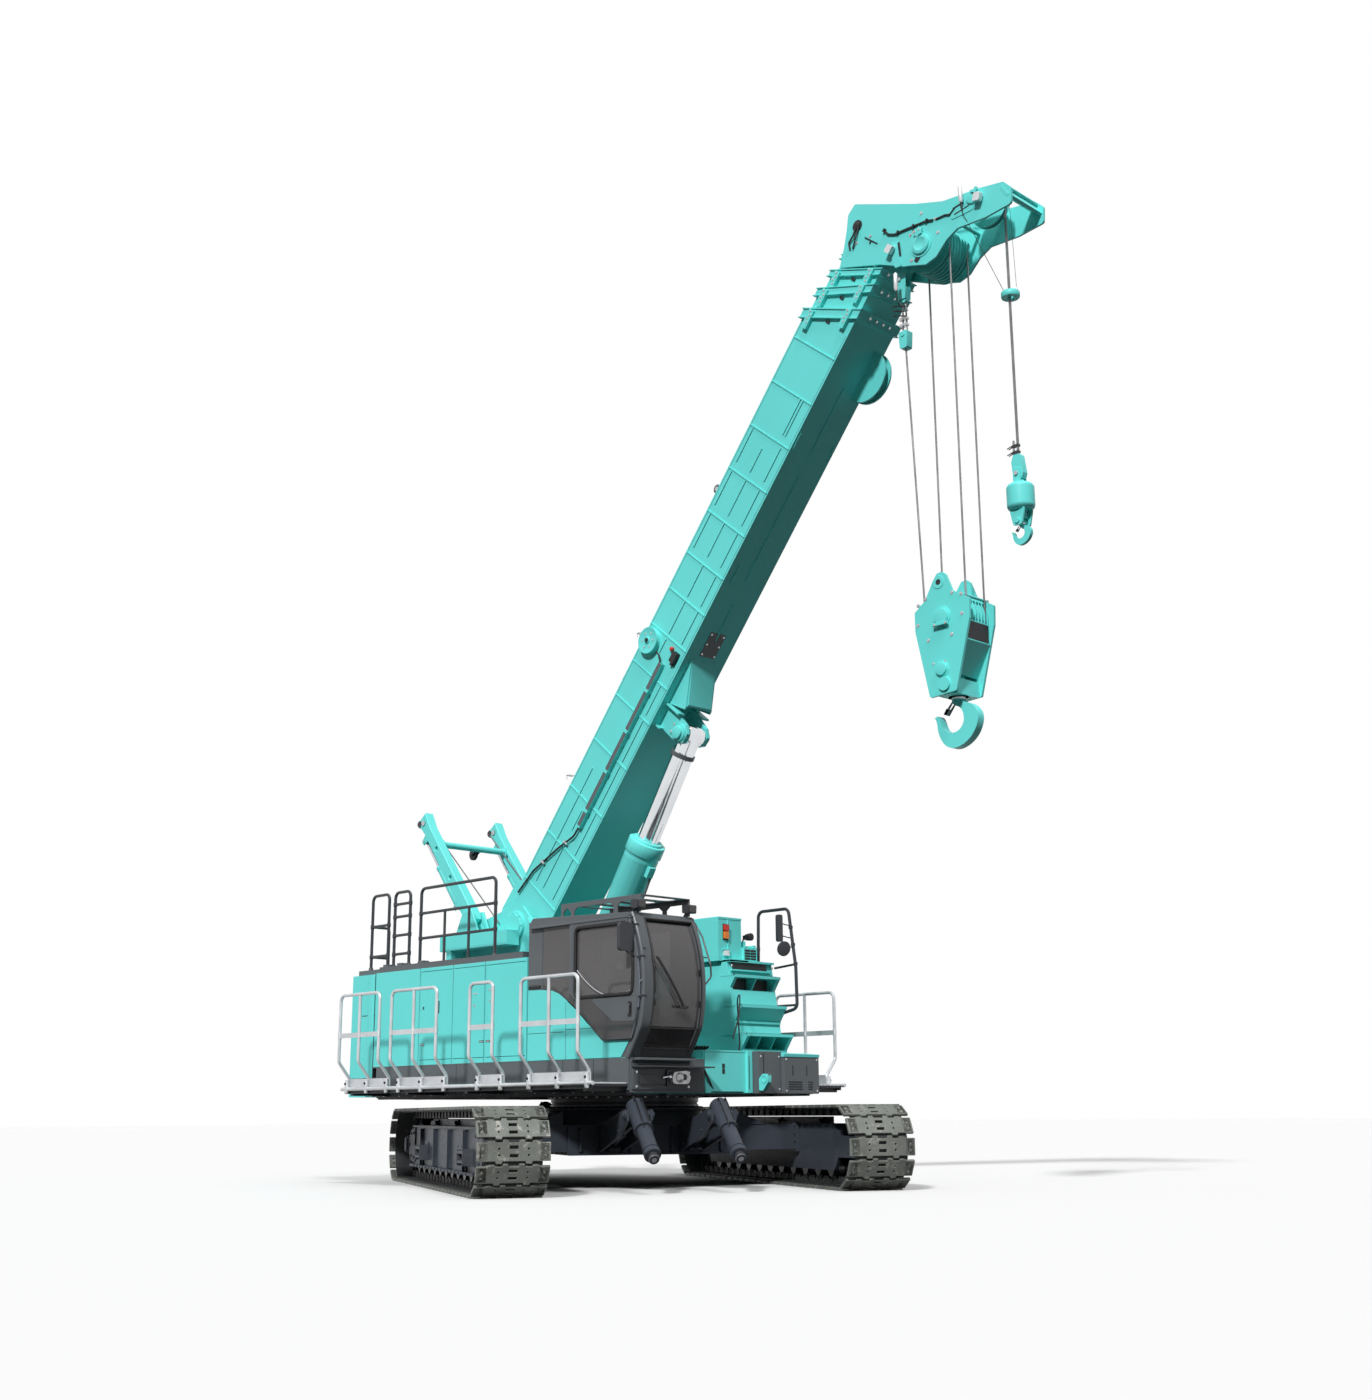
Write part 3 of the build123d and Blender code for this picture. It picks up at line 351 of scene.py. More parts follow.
# one side of a shoe, along the belt and across it: end lug, fingers behind, tongue in front
back_edge, front_edge = -0.1, 0.09
finger_tip, tongue_tip = -0.126, 0.116
shoe_back = ((back_edge, 0.057), (finger_tip, 0.057), (finger_tip, 0.1175), (back_edge, 0.1175),
             (back_edge, 0.1975), (finger_tip + 0.01, 0.1975), (finger_tip + 0.01, 0.2495),
             (back_edge, 0.292), (back_edge, shoe_half))
shoe_front = ((front_edge, shoe_half), (front_edge, 0.1955), (tongue_tip, 0.1875), (tongue_tip, 0.1275),
              (front_edge, 0.1195))
shoe_side = shoe_back + shoe_front
shoe_outline = [*shoe_side, *((x, -y) for x, y in reversed(shoe_side))]
shoe_slots = [[(x - 0.016, -0.045), (x + 0.016, -0.045), (x + 0.016, 0.045), (x - 0.016, 0.045)]
              for x in (-0.05, 0.035)]
shoe_slots += [circle(x, y, 0.011, 8) for x in (-0.035, 0.03) for y in (-0.155, 0.155, -0.33, 0.33)]
shoe_blank = flame_cut(eased(shoe_outline, 0.008, 2), shoe_slots, shoe_plate, 0.004)

for name, y_mid in (("track_right", -track_mid), ("track_left", track_mid)):
    belt = Weldment(LOWER, shoe_steel)
    for shoe in range(2 * (straight_shoes + bend_shoes)):
        x, z, turn = on_loop(shoe * shoe_pitch)
        place = Matrix.Translation((x, y_mid, z)) @ Matrix.Rotation(-turn, 4, "Y")
        belt.coat = shoe_steel
        belt.add(*shoe_blank, place @ Matrix.Translation((0, 0, shoe_plate / 2)))
        # worn pads on the ends and beside the chain
        for near, far in ((-0.37, -0.275), (0.275, 0.37)):
            belt.box((back_edge + 0.012, front_edge - 0.012), (near, far),
                     (shoe_plate - 0.01, shoe_plate), place)
        for side in (-1, 1):
            for x_bolt in (-0.042, 0.042):
                head = place @ Matrix.Translation((x_bolt, side * 0.09, 0))
                belt.box((-0.014, 0.014), (-0.014, 0.014), (0.016, shoe_plate - 0.001), head)
        belt.coat = link_steel
        # overlapping seal plate that closes the gap to the next shoe from inside
        belt.box((-0.125, 0.125), (-0.31, 0.31), (-0.014, -0.004), place)
        for side in (-1, 1):
            belt.box((-0.105, 0.045), (side * 0.052, side * 0.078), (-0.092, 0.004), place)
            belt.box((-0.03, 0.118), (side * 0.08, side * 0.104), (-0.092, 0.004), place)
        belt.box((-0.02, 0.02), (-0.05, 0.05), (-0.075, -0.02), place)
        belt.prism(circle(shoe_pitch / 2, -0.046, 0.026, 10), (-0.112, 0.112), "y", place)
    belt.fit(name + "_shoes", "undercarriage", "track_steel", 0, (name,))

# --- Track frames ---
# Welded box beams that carry the wheels of each track, in dark blue-grey machine paint.
# Ribs, boarding steps and a row of bolts stand on the outer face.
frame_paint = coat_of("frame_paint", (0.045, 0.053, 0.068), 0.42, 0, 0.1, 0.02, 0.7, 160,
                      (0.085, 0.092, 0.105), 0.02, specular=0.12)
grease_steel = coat_of("grease_steel", (0.02, 0.021, 0.024), 0.35, 0.4, 0.25, 0.12, 2, 80)
step_grip = coat_of("step_grip", (0.07, 0.076, 0.088), 0.6, 0.2, 0.2, 0.5, 3, 45)


def dress(node, finish, edge=0.004):
    """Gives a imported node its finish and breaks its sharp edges."""
    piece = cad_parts[node]
    coats = piece.data.materials
    if not coats:
        coats.append(finish)
    for i in range(len(coats)):
        coats[i] = finish
    if edge:
        joined = piece.modifiers.new("joined facets", "WELD")
        joined.merge_threshold = 0.0001
        broken = piece.modifiers.new("broken edges", "BEVEL")
        broken.width, broken.segments, broken.angle_limit = edge, 2, radians(45)
        broken.limit_method, broken.harden_normals = "ANGLE", True


frame_half = 0.19
wheel_rim = 0.3405
frame_end = wheel_x - wheel_rim - 0.15
rib_places = (-1.5, -0.5, 0.5, 1.5)
for name, y_mid in (("side_frame_right", -track_mid), ("side_frame_left", track_mid)):
    dress(name, frame_paint)
    out = 1 if y_mid > 0 else -1
    face = y_mid + out * frame_half
    fittings = Weldment(LOWER, frame_paint)

    def band(near, far):
        return face + out * near, face + out * far

    # slide shoes that carry the belt's upper run, on short posts
    fittings.box((-1.72, 1.72), about(y_mid, 0.03), (0.715, 0.8))
    for x in (-1.4, 0, 1.4):
        fittings.box(about(x, 0.16), about(y_mid, 0.05), (0.715, 0.79))
        fittings.prism(taper(x, (0.715, 0.22), (0.775, 0.13)), (y_mid - 0.09, y_mid - 0.06))
    # end guards outside each wheel, cut to a slope, with their bolts
    for end in (-1, 1):
        guard = ((-0.12, 0.25), (0.22, 0.27), (0.36, 0.38), (0.36, 0.55), (0.2, 0.66), (-0.12, 0.69))
        fittings.prism([(end * (frame_end + x), z) for x, z in guard], band(-0.002, 0.018))
        for x, z in ((-0.06, 0.31), (-0.06, 0.62), (0.14, 0.33), (0.14, 0.61), (0.29, 0.47)):
            fittings.bolt((end * (frame_end + x), face + out * 0.018, z), (0, out, 0), 0.014)
        fittings.turned((end * wheel_x, face - out * 0.01, axle_z), (0, out, 0),
                        ((0, 0.115), (0.03, 0.115), (0.04, 0.1), (0.055, 0.1), (0.06, 0.09)), 28)
        fittings.bolts((end * wheel_x, face + out * 0.04, axle_z), (0, out, 0), 0.085, 6, 0.008)
        # track tensioner's cover with its grease nipple
        fittings.box((end * 1.05, end * 1.32), band(0, 0.012), (0.39, 0.52))
        for x in (1.08, 1.29):
            for z in (0.415, 0.495):
                fittings.bolt((end * x, face + out * 0.012, z), (0, out, 0), 0.008)
    # a lip along the top and the bottom of the beam, and gussets beside each rib
    fittings.box((-frame_end, frame_end), band(-0.01, 0.03), (0.694, 0.716))
    for x in rib_places:
        for side in (-1, 1):
            fittings.prism(((x, 0.24), (x + side * 0.11, 0.24), (x, 0.36)), band(0, 0.02))
        fittings.box(about(x, 0.05), band(0, 0.05), (0.205, 0.225))
    for k in range(17):
        fittings.bolt((-1.84 + 0.23 * k, face + out * 0.06, 0.215), (0, out, 0), 0.01)
    fittings.coat = step_grip
    for x in rib_places[::3]:
        for step, reach in ((0.465, 0.125), (0.352, 0.125)):
            for k in range(7):
                fittings.box((x + 0.1 + 0.045 * k, x + 0.118 + 0.045 * k), band(0.01, reach - 0.006),
                             (step - 0.004, step + 0.008))
        for end in (0.09, 0.43):
            fittings.box((x + end - 0.01, x + end + 0.01), band(0, 0.122), (0.3, 0.475))
    fittings.coat = grease_steel
    # travel hoses down to the sprocket's motor on the inside
    inner = y_mid - out * (frame_half + 0.03)
    for k in range(3):
        y = inner - out * 0.03 * k
        fittings.tube(((-0.6, y, 0.56), (-1.1, y, 0.6), (-1.9, y, 0.52), (-2.25, y + out * 0.05, 0.47)),
                      0.013, 0.2, 8)
    fittings.turned((-wheel_x, y_mid - out * (frame_half - 0.01), axle_z), (0, -out, 0),
                    ((0, 0.17), (0.05, 0.17), (0.06, 0.14), (0.13, 0.14), (0.14, 0.1), (0.19, 0.1)), 28)
    fittings.fit(name + "_fittings", "undercarriage", "dark_paint")

# --- Track wheels ---
# A toothed sprocket driven from inside, a plain idler and eleven rollers to each track.
# Cast and machined steel, greased; the treads that carry the links run bright.
tread_steel = coat_of("tread_steel", (0.16, 0.16, 0.17), 0.35, 0.8, 0.15, 0.1, 3, 90)
for name in ("drive_sprockets", "idlers", "track_rollers"):
    dress(name, grease_steel, 0)
roller_z = axle_z - wheel_rim + 0.0953
wheels = Weldment(LOWER, grease_steel)
for y_mid in (-track_mid, track_mid):
    for side in (-1, 1):
        out = (0, side, 0)
        # webs and bolted hubs of the sprocket and the idler
        wheels.coat = grease_steel
        wheels.turned((-wheel_x, y_mid + side * 0.044, axle_z), out,
                      ((0, 0.21), (0.02, 0.2), (0.03, 0.12)), 32)
        wheels.turned((wheel_x, y_mid + side * 0.044, axle_z), out,
                      ((0, 0.24), (0.012, 0.235), (0.03, 0.14)), 32)
        for x in (-wheel_x, wheel_x):
            wheels.bolts((x, y_mid + side * 0.056, axle_z), out, 0.17, 10, 0.01)
        # the rollers' flanges and end caps
        for k in range(11):
            x = (k - 5) * 2 * frame_end / 11
            wheels.turned((x, y_mid + side * 0.1, roller_z), out,
                          ((0, 0.106), (0.018, 0.106), (0.02, 0.095)), 24)
            wheels.coat = tread_steel
            wheels.pin((x, y_mid + side * 0.02, roller_z), out, 0.0965, 0.07, 24)
            wheels.coat = grease_steel
wheels.fit("wheel_fittings", "undercarriage", "running_gear", 0.002)

# --- Carbody ---
# The welded box between the tracks, with two cross beams and the slewing ring on top.
# Dark blue-grey paint; the ring is a bolted ball race with its grease lines.
for name in ("carbody", "slew_ring"):
    dress(name, frame_paint)
carbody = Weldment(LOWER, frame_paint)
for x in (-0.9, 0.9):
    for side in (-1, 1):
        # bolted end plates where the beams meet the track frames, and their stiffeners
        end = side * (track_mid - frame_half)
        carbody.box(about(x, 0.25), (end - side * 0.05, end - side * 0.001), (0.395, 0.74))
        for dx in (-0.225, 0.225):
            for z in (0.43, 0.52, 0.61, 0.7):
                carbody.bolt((x + dx, end - side * 0.05, z), (0, -side, 0), 0.014)
        for dx in (-0.21, 0.21):
            carbody.prism(((side * 1.05, 0.715), (side * 1.45, 0.715), (side * 1.05, 0.88)),
                          about(x + dx, 0.012), "x")
for end in (-1, 1):
    # ladders of ribs on the front and rear faces, and a lashing eye at each corner
    for y in (-0.86, -0.25, 0.25, 0.86):
        carbody.prism([(end * x, z) for x, z in ((1.145, 0.4), (1.2, 0.42), (1.2, 0.66), (1.145, 0.7))],
                      about(y, 0.012))
    carbody.box((end * 1.13, end * 1.175), (-0.99, 0.99), (0.378, 0.402))
    for side in (-1, 1):
        for cheek in (-1, 1):
            y = side * 0.49 + cheek * 0.151
            for x, z, reach in ((1.35, 0.5, 0.012), (2.05, 0.66, 0.012), (2.33, 0.83, 0.03)):
                carbody.bolt((end * x, y + cheek * 0.001, z), (0, cheek, 0), reach)
        carbody.box((end * 1.15, end * 1.36), (side * 0.42, side * 0.56), (0.43, 0.455))
        # the cylinder that holds the jack's arm, beside the arm plates
        carbody.turned((end * 1.25, side * 0.49, 0.52), (end * 0.93, 0, 0.22),
                       ((0, 0.045), (0.5, 0.045), (0.52, 0.03), (0.86, 0.028)), 16)
carbody.turned((0, 0, 0.885), up, ((0, 0.985), (0.03, 0.985), (0.035, 0.965), (0.05, 0.93)), 72)
carbody.bolts((0, 0, 0.918), up, 0.955, 48, 0.013)
carbody.coat = grease_steel
for k in range(4):
    for side in (-1, 1):
        spread = 0.05 * k
        carbody.tube(((-0.5, side * (0.9 - spread), 0.74), (-0.95, side * (1.25 - spread), 0.75),
                      (-1, side * 1.8, 0.6)), 0.014, 0.15, 8)
race = ((0, 0.915), (0.05, 0.915), (0.055, 0.9), (0.075, 0.9), (0.08, 0.915), (0.14, 0.915), (0.145, 0.905))
carbody.turned((0, 0, 0.905), up, race, 96)
# ball race: tooth gaps of the ring gear inside, seen from below
for k in range(96):
    turn = Matrix.Rotation(tau * k / 96, 4, "Z")
    carbody.box((0.665, 0.702), (-0.012, 0.012), (0.91, 0.99), turn)
carbody.fit("carbody_fittings", "undercarriage", "dark_paint", 0.003)

# --- Jacks ---
# Four hydraulic jacks that swing down beside the carbody: a honed barrel with a screwed
# gland, a rod and a forged foot cap, in dark paint with the cap worn bare.
jack_axis = radians(53)
for corner, end, side in (("front_right", 1, -1), ("front_left", 1, 1), ("rear_right", -1, -1),
                          ("rear_left", -1, 1)):
    dress("jack_" + corner, frame_paint, 0)
    jack = Weldment(LOWER, frame_paint)
    down = Vector((end * sin(jack_axis), 0, -cos(jack_axis)))
    pin = Vector((end * 2.33, side * 0.49, 0.83))
    tube_rows = ((0, 0.06), (0.015, 0.095), (0.03, 0.1055), (0.16, 0.1055), (0.165, 0.098), (0.2, 0.098),
                 (0.205, 0.1055), (0.42, 0.1055), (0.425, 0.112), (0.45, 0.112), (0.455, 0.088))
    gland_rows = ((0, 0.086), (0.34, 0.086), (0.345, 0.094), (0.405, 0.094), (0.41, 0.075))
    foot_rows = ((0, 0.056), (0.055, 0.056), (0.065, 0.062), (0.078, 0.05), (0.081, 0.02))
    jack.turned(pin - down * 0.175, down, tube_rows, 32)
    jack.turned(pin + down * 0.3, down, gland_rows, 32)
    for k in range(3):
        jack.pin(pin + down * (0.62 + 0.03 * k), down, 0.0945, 0.012, 24)
    for cheek in (-1, 1):
        jack.turned(pin + Vector((0, cheek * 0.115, 0)), (0, cheek, 0),
                    ((0, 0.055), (0.05, 0.055), (0.054, 0.045)), 20)
    jack.coat = tread_steel
    jack.turned(pin + down * 0.7, down, foot_rows, 24)
    jack.coat = grease_steel
    hose = down.cross(Vector((0, 1, 0))) * end
    for shift in (-0.04, 0.04):
        start = pin + Vector((0, shift, 0)) + hose * 0.105
        jack.tube((start - down * 0.12, start - down * 0.12 + hose * 0.035, start + down * 0.3
                   + hose * 0.03, start + down * 0.33), 0.009, 0.03, 8)
    jack.fit("jack_fittings_" + corner, "jack_" + corner, "dark_paint", 0.002)

# --- Revolving frame ---
# The welded deck that turns on the ring: two deep webs carry the boom, a skirt closes the
# sides.  Teal machine paint in front, dark paint along the skirt, painted shade below.
teal = (0.15, 0.735, 0.705)
teal_paint = coat_of("teal_paint", teal, 0.4, 0, 0.03, 0.006, 0.45, 240, None, 0, 0.22)
dark_paint = coat_of("dark_paint", (0.108, 0.122, 0.131), 0.42, 0, 0.05, 0.01, 0.5, 200, None, 0, 0.25)
# near black: painted shade on the deck's underside, and the walkways' plain dark parts
dark_and_underside_shade = coat_of("dark_and_underside_shade", (0.018, 0.02, 0.024), 0.5, 0, 0.2, 0.05, 1, 90)
# black for seams and slots, and as painted shade in grooves, mouths and under bars
seam_and_shade_black = coat_of("seam_and_shade_black", (0.012, 0.013, 0.015), 0.6, 0, 0.2, 0.05, 1, 90)
bolt_zinc = coat_of("bolt_zinc", (0.5, 0.51, 0.52), 0.35, 0.9, 0.12, 0.05, 3, 90)
hose_rubber = coat_of("hose_rubber", (0.012, 0.012, 0.013), 0.5, 0, 0.2, 0.1, 4, 130)
dress("revolving_frame", teal_paint, 0.006)
skirt_top, side_y = 1.46, 1.52
deck = Weldment(UPPER, teal_paint)
deck.coat = dark_paint
# dark skirt panels along both sides and across the front up to the boom's webs
for side in (-1, 1):
    for near, far in ((-3.17, -2.21), (-2.2, -1.43), (-1.42, -0.6), (-0.59, 0.62), (0.63, 1.16),
                      (1.17, 1.76)):
        deck.box((near, far), (side * side_y, side * (side_y + 0.018)), (1.1, skirt_top - 0.004))
deck.box((1.745, 1.775), (-1.52, -0.36), (1.075, skirt_top - 0.004))
deck.box((1.7, 1.9), (-1.49, -0.62), (skirt_top - 0.03, skirt_top - 0.004))
# black band below the skirt: painted shade under it
deck.coat = dark_and_underside_shade
for side in (-1, 1):
    deck.box((-3.17, 1.76), (side * (side_y - 0.06), side * (side_y + 0.004)), (1.064, 1.102))
# front face of the teal box between the cab and the tower, with a raised right edge
deck.coat = teal_paint
front_top = 1.565
deck.box((1.749, 1.775), (-0.35, 0.4), (1.075, front_top))
deck.box((1.74, 1.81), (0.33, 0.41), (1.075, front_top))
deck.box((1.6, 1.78), (-0.35, 0.41), (front_top - 0.02, front_top))
deck.box((1.3, 1.76), (0.36, 0.41), (1.11, front_top))
deck.box((1.3, 1.76), (-0.36, -0.33), (1.11, front_top))
deck.coat = seam_and_shade_black
deck.box((1.776, 1.784), (-0.25, 0.28), (1.082, 1.092))
deck.box((1.812, 1.816), (0.345, 0.352), (1.12, 1.5))
for z in (1.36, 1.3):
    deck.box((1.776, 1.782), about(-0.05, 0.02), (z, z + 0.05))
# flanges round the webs' lightening holes, edge bars and stiffeners of the boom's webs
deck.coat = teal_paint
for side in (-1, 1):
    y = side * 0.472
    for x, z, radius in ((-2.3, 2.05, 0.24), (-1.85, 2.62, 0.15), (0.5, 1.4, 0.13)):
        deck.turned((x, y - side * 0.05, z), (0, side, 0),
                    ((0, radius - 0.012), (0, radius + 0.012), (0.07, radius + 0.012),
                     (0.07, radius - 0.012)), 36, True)
    flange = ((1.6, 1.38), (-0.35, 1.95), (-1.33, 3.35))
    for (x0, z0), (x1, z1) in zip(flange, flange[1:]):
        run = hypot(x1 - x0, z1 - z0)
        turn = Matrix.Translation((x0, side * 0.45, z0)) @ Matrix.Rotation(-atan2(z1 - z0, x1 - x0), 4, "Y")
        deck.box((0, run), (-0.075, 0.075), (-0.01, 0.014), turn)
    for x, low, high in ((1, 1.11, 1.5), (0.2, 1.11, 1.72), (-0.7, 1.11, 2.35), (-2.8, 1.11, 2.4)):
        deck.box(about(x, 0.012), (side * 0.47, side * 0.56), (low, high))
    deck.turned((-1.628, side * 0.47, 3.268), (0, side, 0),
                ((0, 0.19), (0.04, 0.19), (0.045, 0.15), (0.06, 0.15)), 36)
    deck.bolts((-1.628, side * 0.51, 3.268), (0, side, 0), 0.165, 8, 0.013)
    deck.turned((-1.1, side * 0.225, 1.8), (0, side, 0),
                ((0, 0.15), (0.035, 0.15), (0.04, 0.1), (0.05, 0.1)), 32)
# deck beams below, seen from underneath, near-black as painted shade
deck.coat = dark_and_underside_shade
for x in (-2.9, -2.2, 1.1, 1.6):
    deck.box(about(x, 0.04), (-1.5, 1.5), (1.045, 1.07))
for y in (-1.48, -0.9, 0.9, 1.48):
    deck.box((-3.15, 1.73), about(y, 0.03), (1.045, 1.07))
deck.pin((0, 0, 1.045), up, 0.98, 0.024, 72)
deck.coat = bolt_zinc
deck.bolts((0, 0, 1.046), (0, 0, -1), 0.93, 40, 0.013)
for k in range(14):
    deck.bolt((-3 + 0.345 * k, -1.51, 1.085), (0, 0, -1), 0.012)
# hydraulic pipes along the deck and hoses to the tower and the cab
deck.coat = hose_rubber
for k in range(5):
    y = -0.3 + 0.045 * k
    deck.tube(((-2.9, y, 1.14), (-0.2, y, 1.14), (0.4, y - 0.02, 1.16), (1.2, y, 1.3),
               (1.5, y + 0.1, 1.62)), 0.014, 0.25, 8)
deck.tube(((1.79, 0.1, 1.7), (1.83, 0.17, 1.95), (1.7, 0.33, 2.25), (1.46, 0.52, 2.2), (1.46, 0.56, 1.7),
           (1.5, 0.5, 1.52)), 0.009, 0.25, 8)
deck.tube(((1.6, -0.52, 1.5), (1.74, -0.4, 1.44), (1.8, -0.33, 1.25), (1.76, -0.2, 1.1)), 0.012, 0.1, 8)
deck.fit("deck_fittings", "upper", "teal_paint", 0.002)

# --- Counterweight ---
# Stacked cast slabs behind the house, in teal, with rounded rear corners, lifting lugs
# and a black strip of painted shade in the groove where the slabs are keyed to the house.
red_lens = coat_of("red_lens", (0.62, 0.03, 0.02), 0.15, 0, 0.05, 0.05, 3, 60)
dress("counterweight", teal_paint, 0.012)
weight = Weldment(UPPER, teal_paint)
house_y = 1.538
weight.coat = seam_and_shade_black
for z in (1.6, 2.14):
    weight.box((-3.8225, -3.815), (-1.26, 1.26), about(z, 0.006))
for side in (-1, 1):
    weight.box((-3.545, -3.255), (side * (house_y - 0.012), side * (house_y + 0.0015)), (2.135, 2.145))
    # black sheet in the groove by the corner column: painted shade
    weight.box((-3.262, -3.245), (side * 1.4, side * (house_y + 0.002)), (1.09, 2.68))
weight.coat = teal_paint
for side in (-1, 1):
    # the keyed corner column, a rounded bar down the joint with the house
    weight.prism(eased(rectangle((-3.4, -3.27), (side * 1.52, side * 1.552)), 0.012), (1.09, 2.675), "z")
    for y in (0.62, 1.12):
        weight.prism(eased(((-3.6, 2.67), (-3.6, 2.76), (-3.54, 2.82), (-3.46, 2.82), (-3.4, 2.76),
                            (-3.4, 2.67)), 0.02), (side * y, side * (y + 0.035)))
        weight.pin((-3.5, side * y - 0.005, 2.765), along_y, 0.028, 0.05)
weight.coat = dark_paint
# steps and a bar across the rear face, and the dark roof plate that the rail stands on
weight.box((-3.79, -3.27), (-1.45, -1.12), (2.68, 2.755))
for z in (1.25, 1.55, 1.85, 2.15, 2.45):
    weight.tube(((-3.81, -1, z), (-3.825, -1, z + 0.01), (-3.825, -0.62, z + 0.01), (-3.81, -0.62, z)),
                0.0075, 0.01, 8)
weight.coat = red_lens
for side in (-1, 1):
    weight.box((-3.8255, -3.816), (side * 1.12, side * 1.22), (1.34, 1.46))
    weight.box((-3.8255, -3.816), (side * 1, side * 1.1), (1.34, 1.46))
weight.fit("counterweight_fittings", "upper", "teal_paint", 0.003)

# --- Machinery house ---
# Pressed steel panels on a frame over the engine, with three swinging doors on the right.
# Teal paint; a dark roof curb and skirt, flush latches, a pull handle and fine seams.
for name in ("house_right", "house_left"):
    dress(name, teal_paint, 0.006)
for k in (1, 2, 3):
    dress(f"house_door_{k}", teal_paint, 0.003)
roof_z = 2.69
house = Weldment(UPPER, teal_paint)
# dark roof curb and walkway plate on the right
house.coat = dark_paint
house.box((-3.2, -0.165), (-1.522, -1.12), (roof_z, 2.768))
house.box((-3.24, -0.1), (-1.12, -0.54), (roof_z, 2.702))
for x in (-3.1, -2.78, -2.3):
    house.box(about(x, 0.05), (-1.5, -1.4), (2.765, 2.8))
for side in (-1, 1):
    house.box((-3.24, -0.08), (side * 1.4, side * (house_y + 0.0012)), (1.45, 1.466))
# vertical seams and the panel edges round the doors
house.coat = seam_and_shade_black
for x in (-2.242, -1.531, -0.874):
    house.box(about(x, 0.003), (-house_y - 0.0012, -house_y + 0.01), (1.47, roof_z))
for x in (-2.6, -1.95, -1.3, -0.68):
    house.box(about(x, 0.004), (house_y - 0.01, house_y + 0.0015), (1.5, 2.66))
house.box((-3.24, -0.07), (house_y - 0.01, house_y + 0.0015), (2.1, 2.106))
# louvred air intakes on the left side and the roof
for x0 in (-3.12, -2.5):
    house.box((x0, x0 + 0.5), (house_y - 0.012, house_y + 0.004), (1.62, 2.04))
    for k in range(11):
        house.prism(((house_y - 0.002, 1.64 + 0.036 * k), (house_y + 0.02, 1.635 + 0.036 * k),
                     (house_y + 0.022, 1.642 + 0.036 * k), (house_y, 1.66 + 0.036 * k)),
                    (x0 + 0.02, x0 + 0.48), "x")
for x in (-2.9, -2.2, -1.5):
    house.box((x, x + 0.48), (0.66, 1.36), (2.688, 2.71))
    for k in range(14):
        house.box((x + 0.02 + 0.032 * k, x + 0.034 + 0.032 * k), (0.69, 1.33), (2.7, 2.722))
# exhaust stack with its heat shield, and the air cleaner's hood
house.coat = dark_paint
house.turned((-2.75, 0.98, roof_z), up, ((0, 0.11), (0.3, 0.11), (0.31, 0.075), (0.52, 0.075)), 28)
house.tube(((-2.75, 0.98, 3.18), (-2.75, 0.98, 3.3), (-2.98, 0.98, 3.36)), 0.062, 0.12, 20)
hood = ((0, 0.13), (0.12, 0.13), (0.14, 0.17), (0.24, 0.17), (0.27, 0.12), (0.28, 0.03))
house.turned((-1, 1.05, roof_z), up, hood, 28)
# teal grab rail and lifting eyes on the roof
house.coat = teal_paint
for side in (-1, 1):
    for x in (-3, -0.4):
        house.prism(eased(((x - 0.07, 2.685), (x - 0.05, 2.77), (x + 0.05, 2.77), (x + 0.07, 2.685)),
                          0.02), (side * 0.58, side * 0.6))
house.fit("house_fittings", "upper", "teal_paint", 0.002)
for k, (hinge, lock) in enumerate(((-1.56, -2.16), (-1.5, -0.93), (-0.1, -0.8)), 1):
    door = Weldment(UPPER, teal_paint)
    # hinge knuckles behind the edge, a slot latch, and a pull handle on the first door
    for z in (1.72, 2.44):
        door.coat = seam_and_shade_black
        door.box(about(lock, 0.045), (-house_y - 0.001, -house_y + 0.004), about(z, 0.014))
        door.coat = bolt_zinc
        door.box(about(lock, 0.036), (-house_y - 0.004, -house_y), about(z, 0.007))
        door.coat = teal_paint
        door.box(about(hinge, 0.03), (-house_y + 0.04, -house_y + 0.052), about(z, 0.05))
    if k == 1:
        door.coat = seam_and_shade_black
        door.box((-1.86, -1.81), (-house_y - 0.0025, -house_y + 0.004), (2.1, 2.26))
        grip = ((0, 2.13), (-0.03, 2.14), (-0.03, 2.22), (0, 2.23))
        door.tube([(-1.835, -house_y + y, z) for y, z in grip], 0.008, 0.015, 8)
        door.box((-2.165, -2.14), about(-house_y, 0.003), (2.16, 2.2))
    if k == 2:
        door.coat = bolt_zinc
        door.box((-1.12, -1.02), about(-house_y, 0.003), (2.3, 2.315))
        door.box((-1.1, -1.06), about(-house_y, 0.003), (2.15, 2.175))
    if k == 3:
        door.coat = bolt_zinc
        door.box((-0.8, -0.7), about(-house_y, 0.003), (2.33, 2.35))
        door.box((-0.79, -0.72), about(-house_y, 0.003), (2.2, 2.215))
    # inner skin with its folded edges
    door.coat = teal_paint
    low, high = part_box(f"house_door_{k}")
    near, far = low.x - slew_x + 0.05, high.x - slew_x - 0.05
    for z in (1.62, 2.08, 2.54):
        door.box((near, far), (-house_y + 0.036, -house_y + 0.052), about(z, 0.03))
    door.fit(f"house_door_{k}_fittings", f"house_door_{k}", "teal_paint", 0.0015)

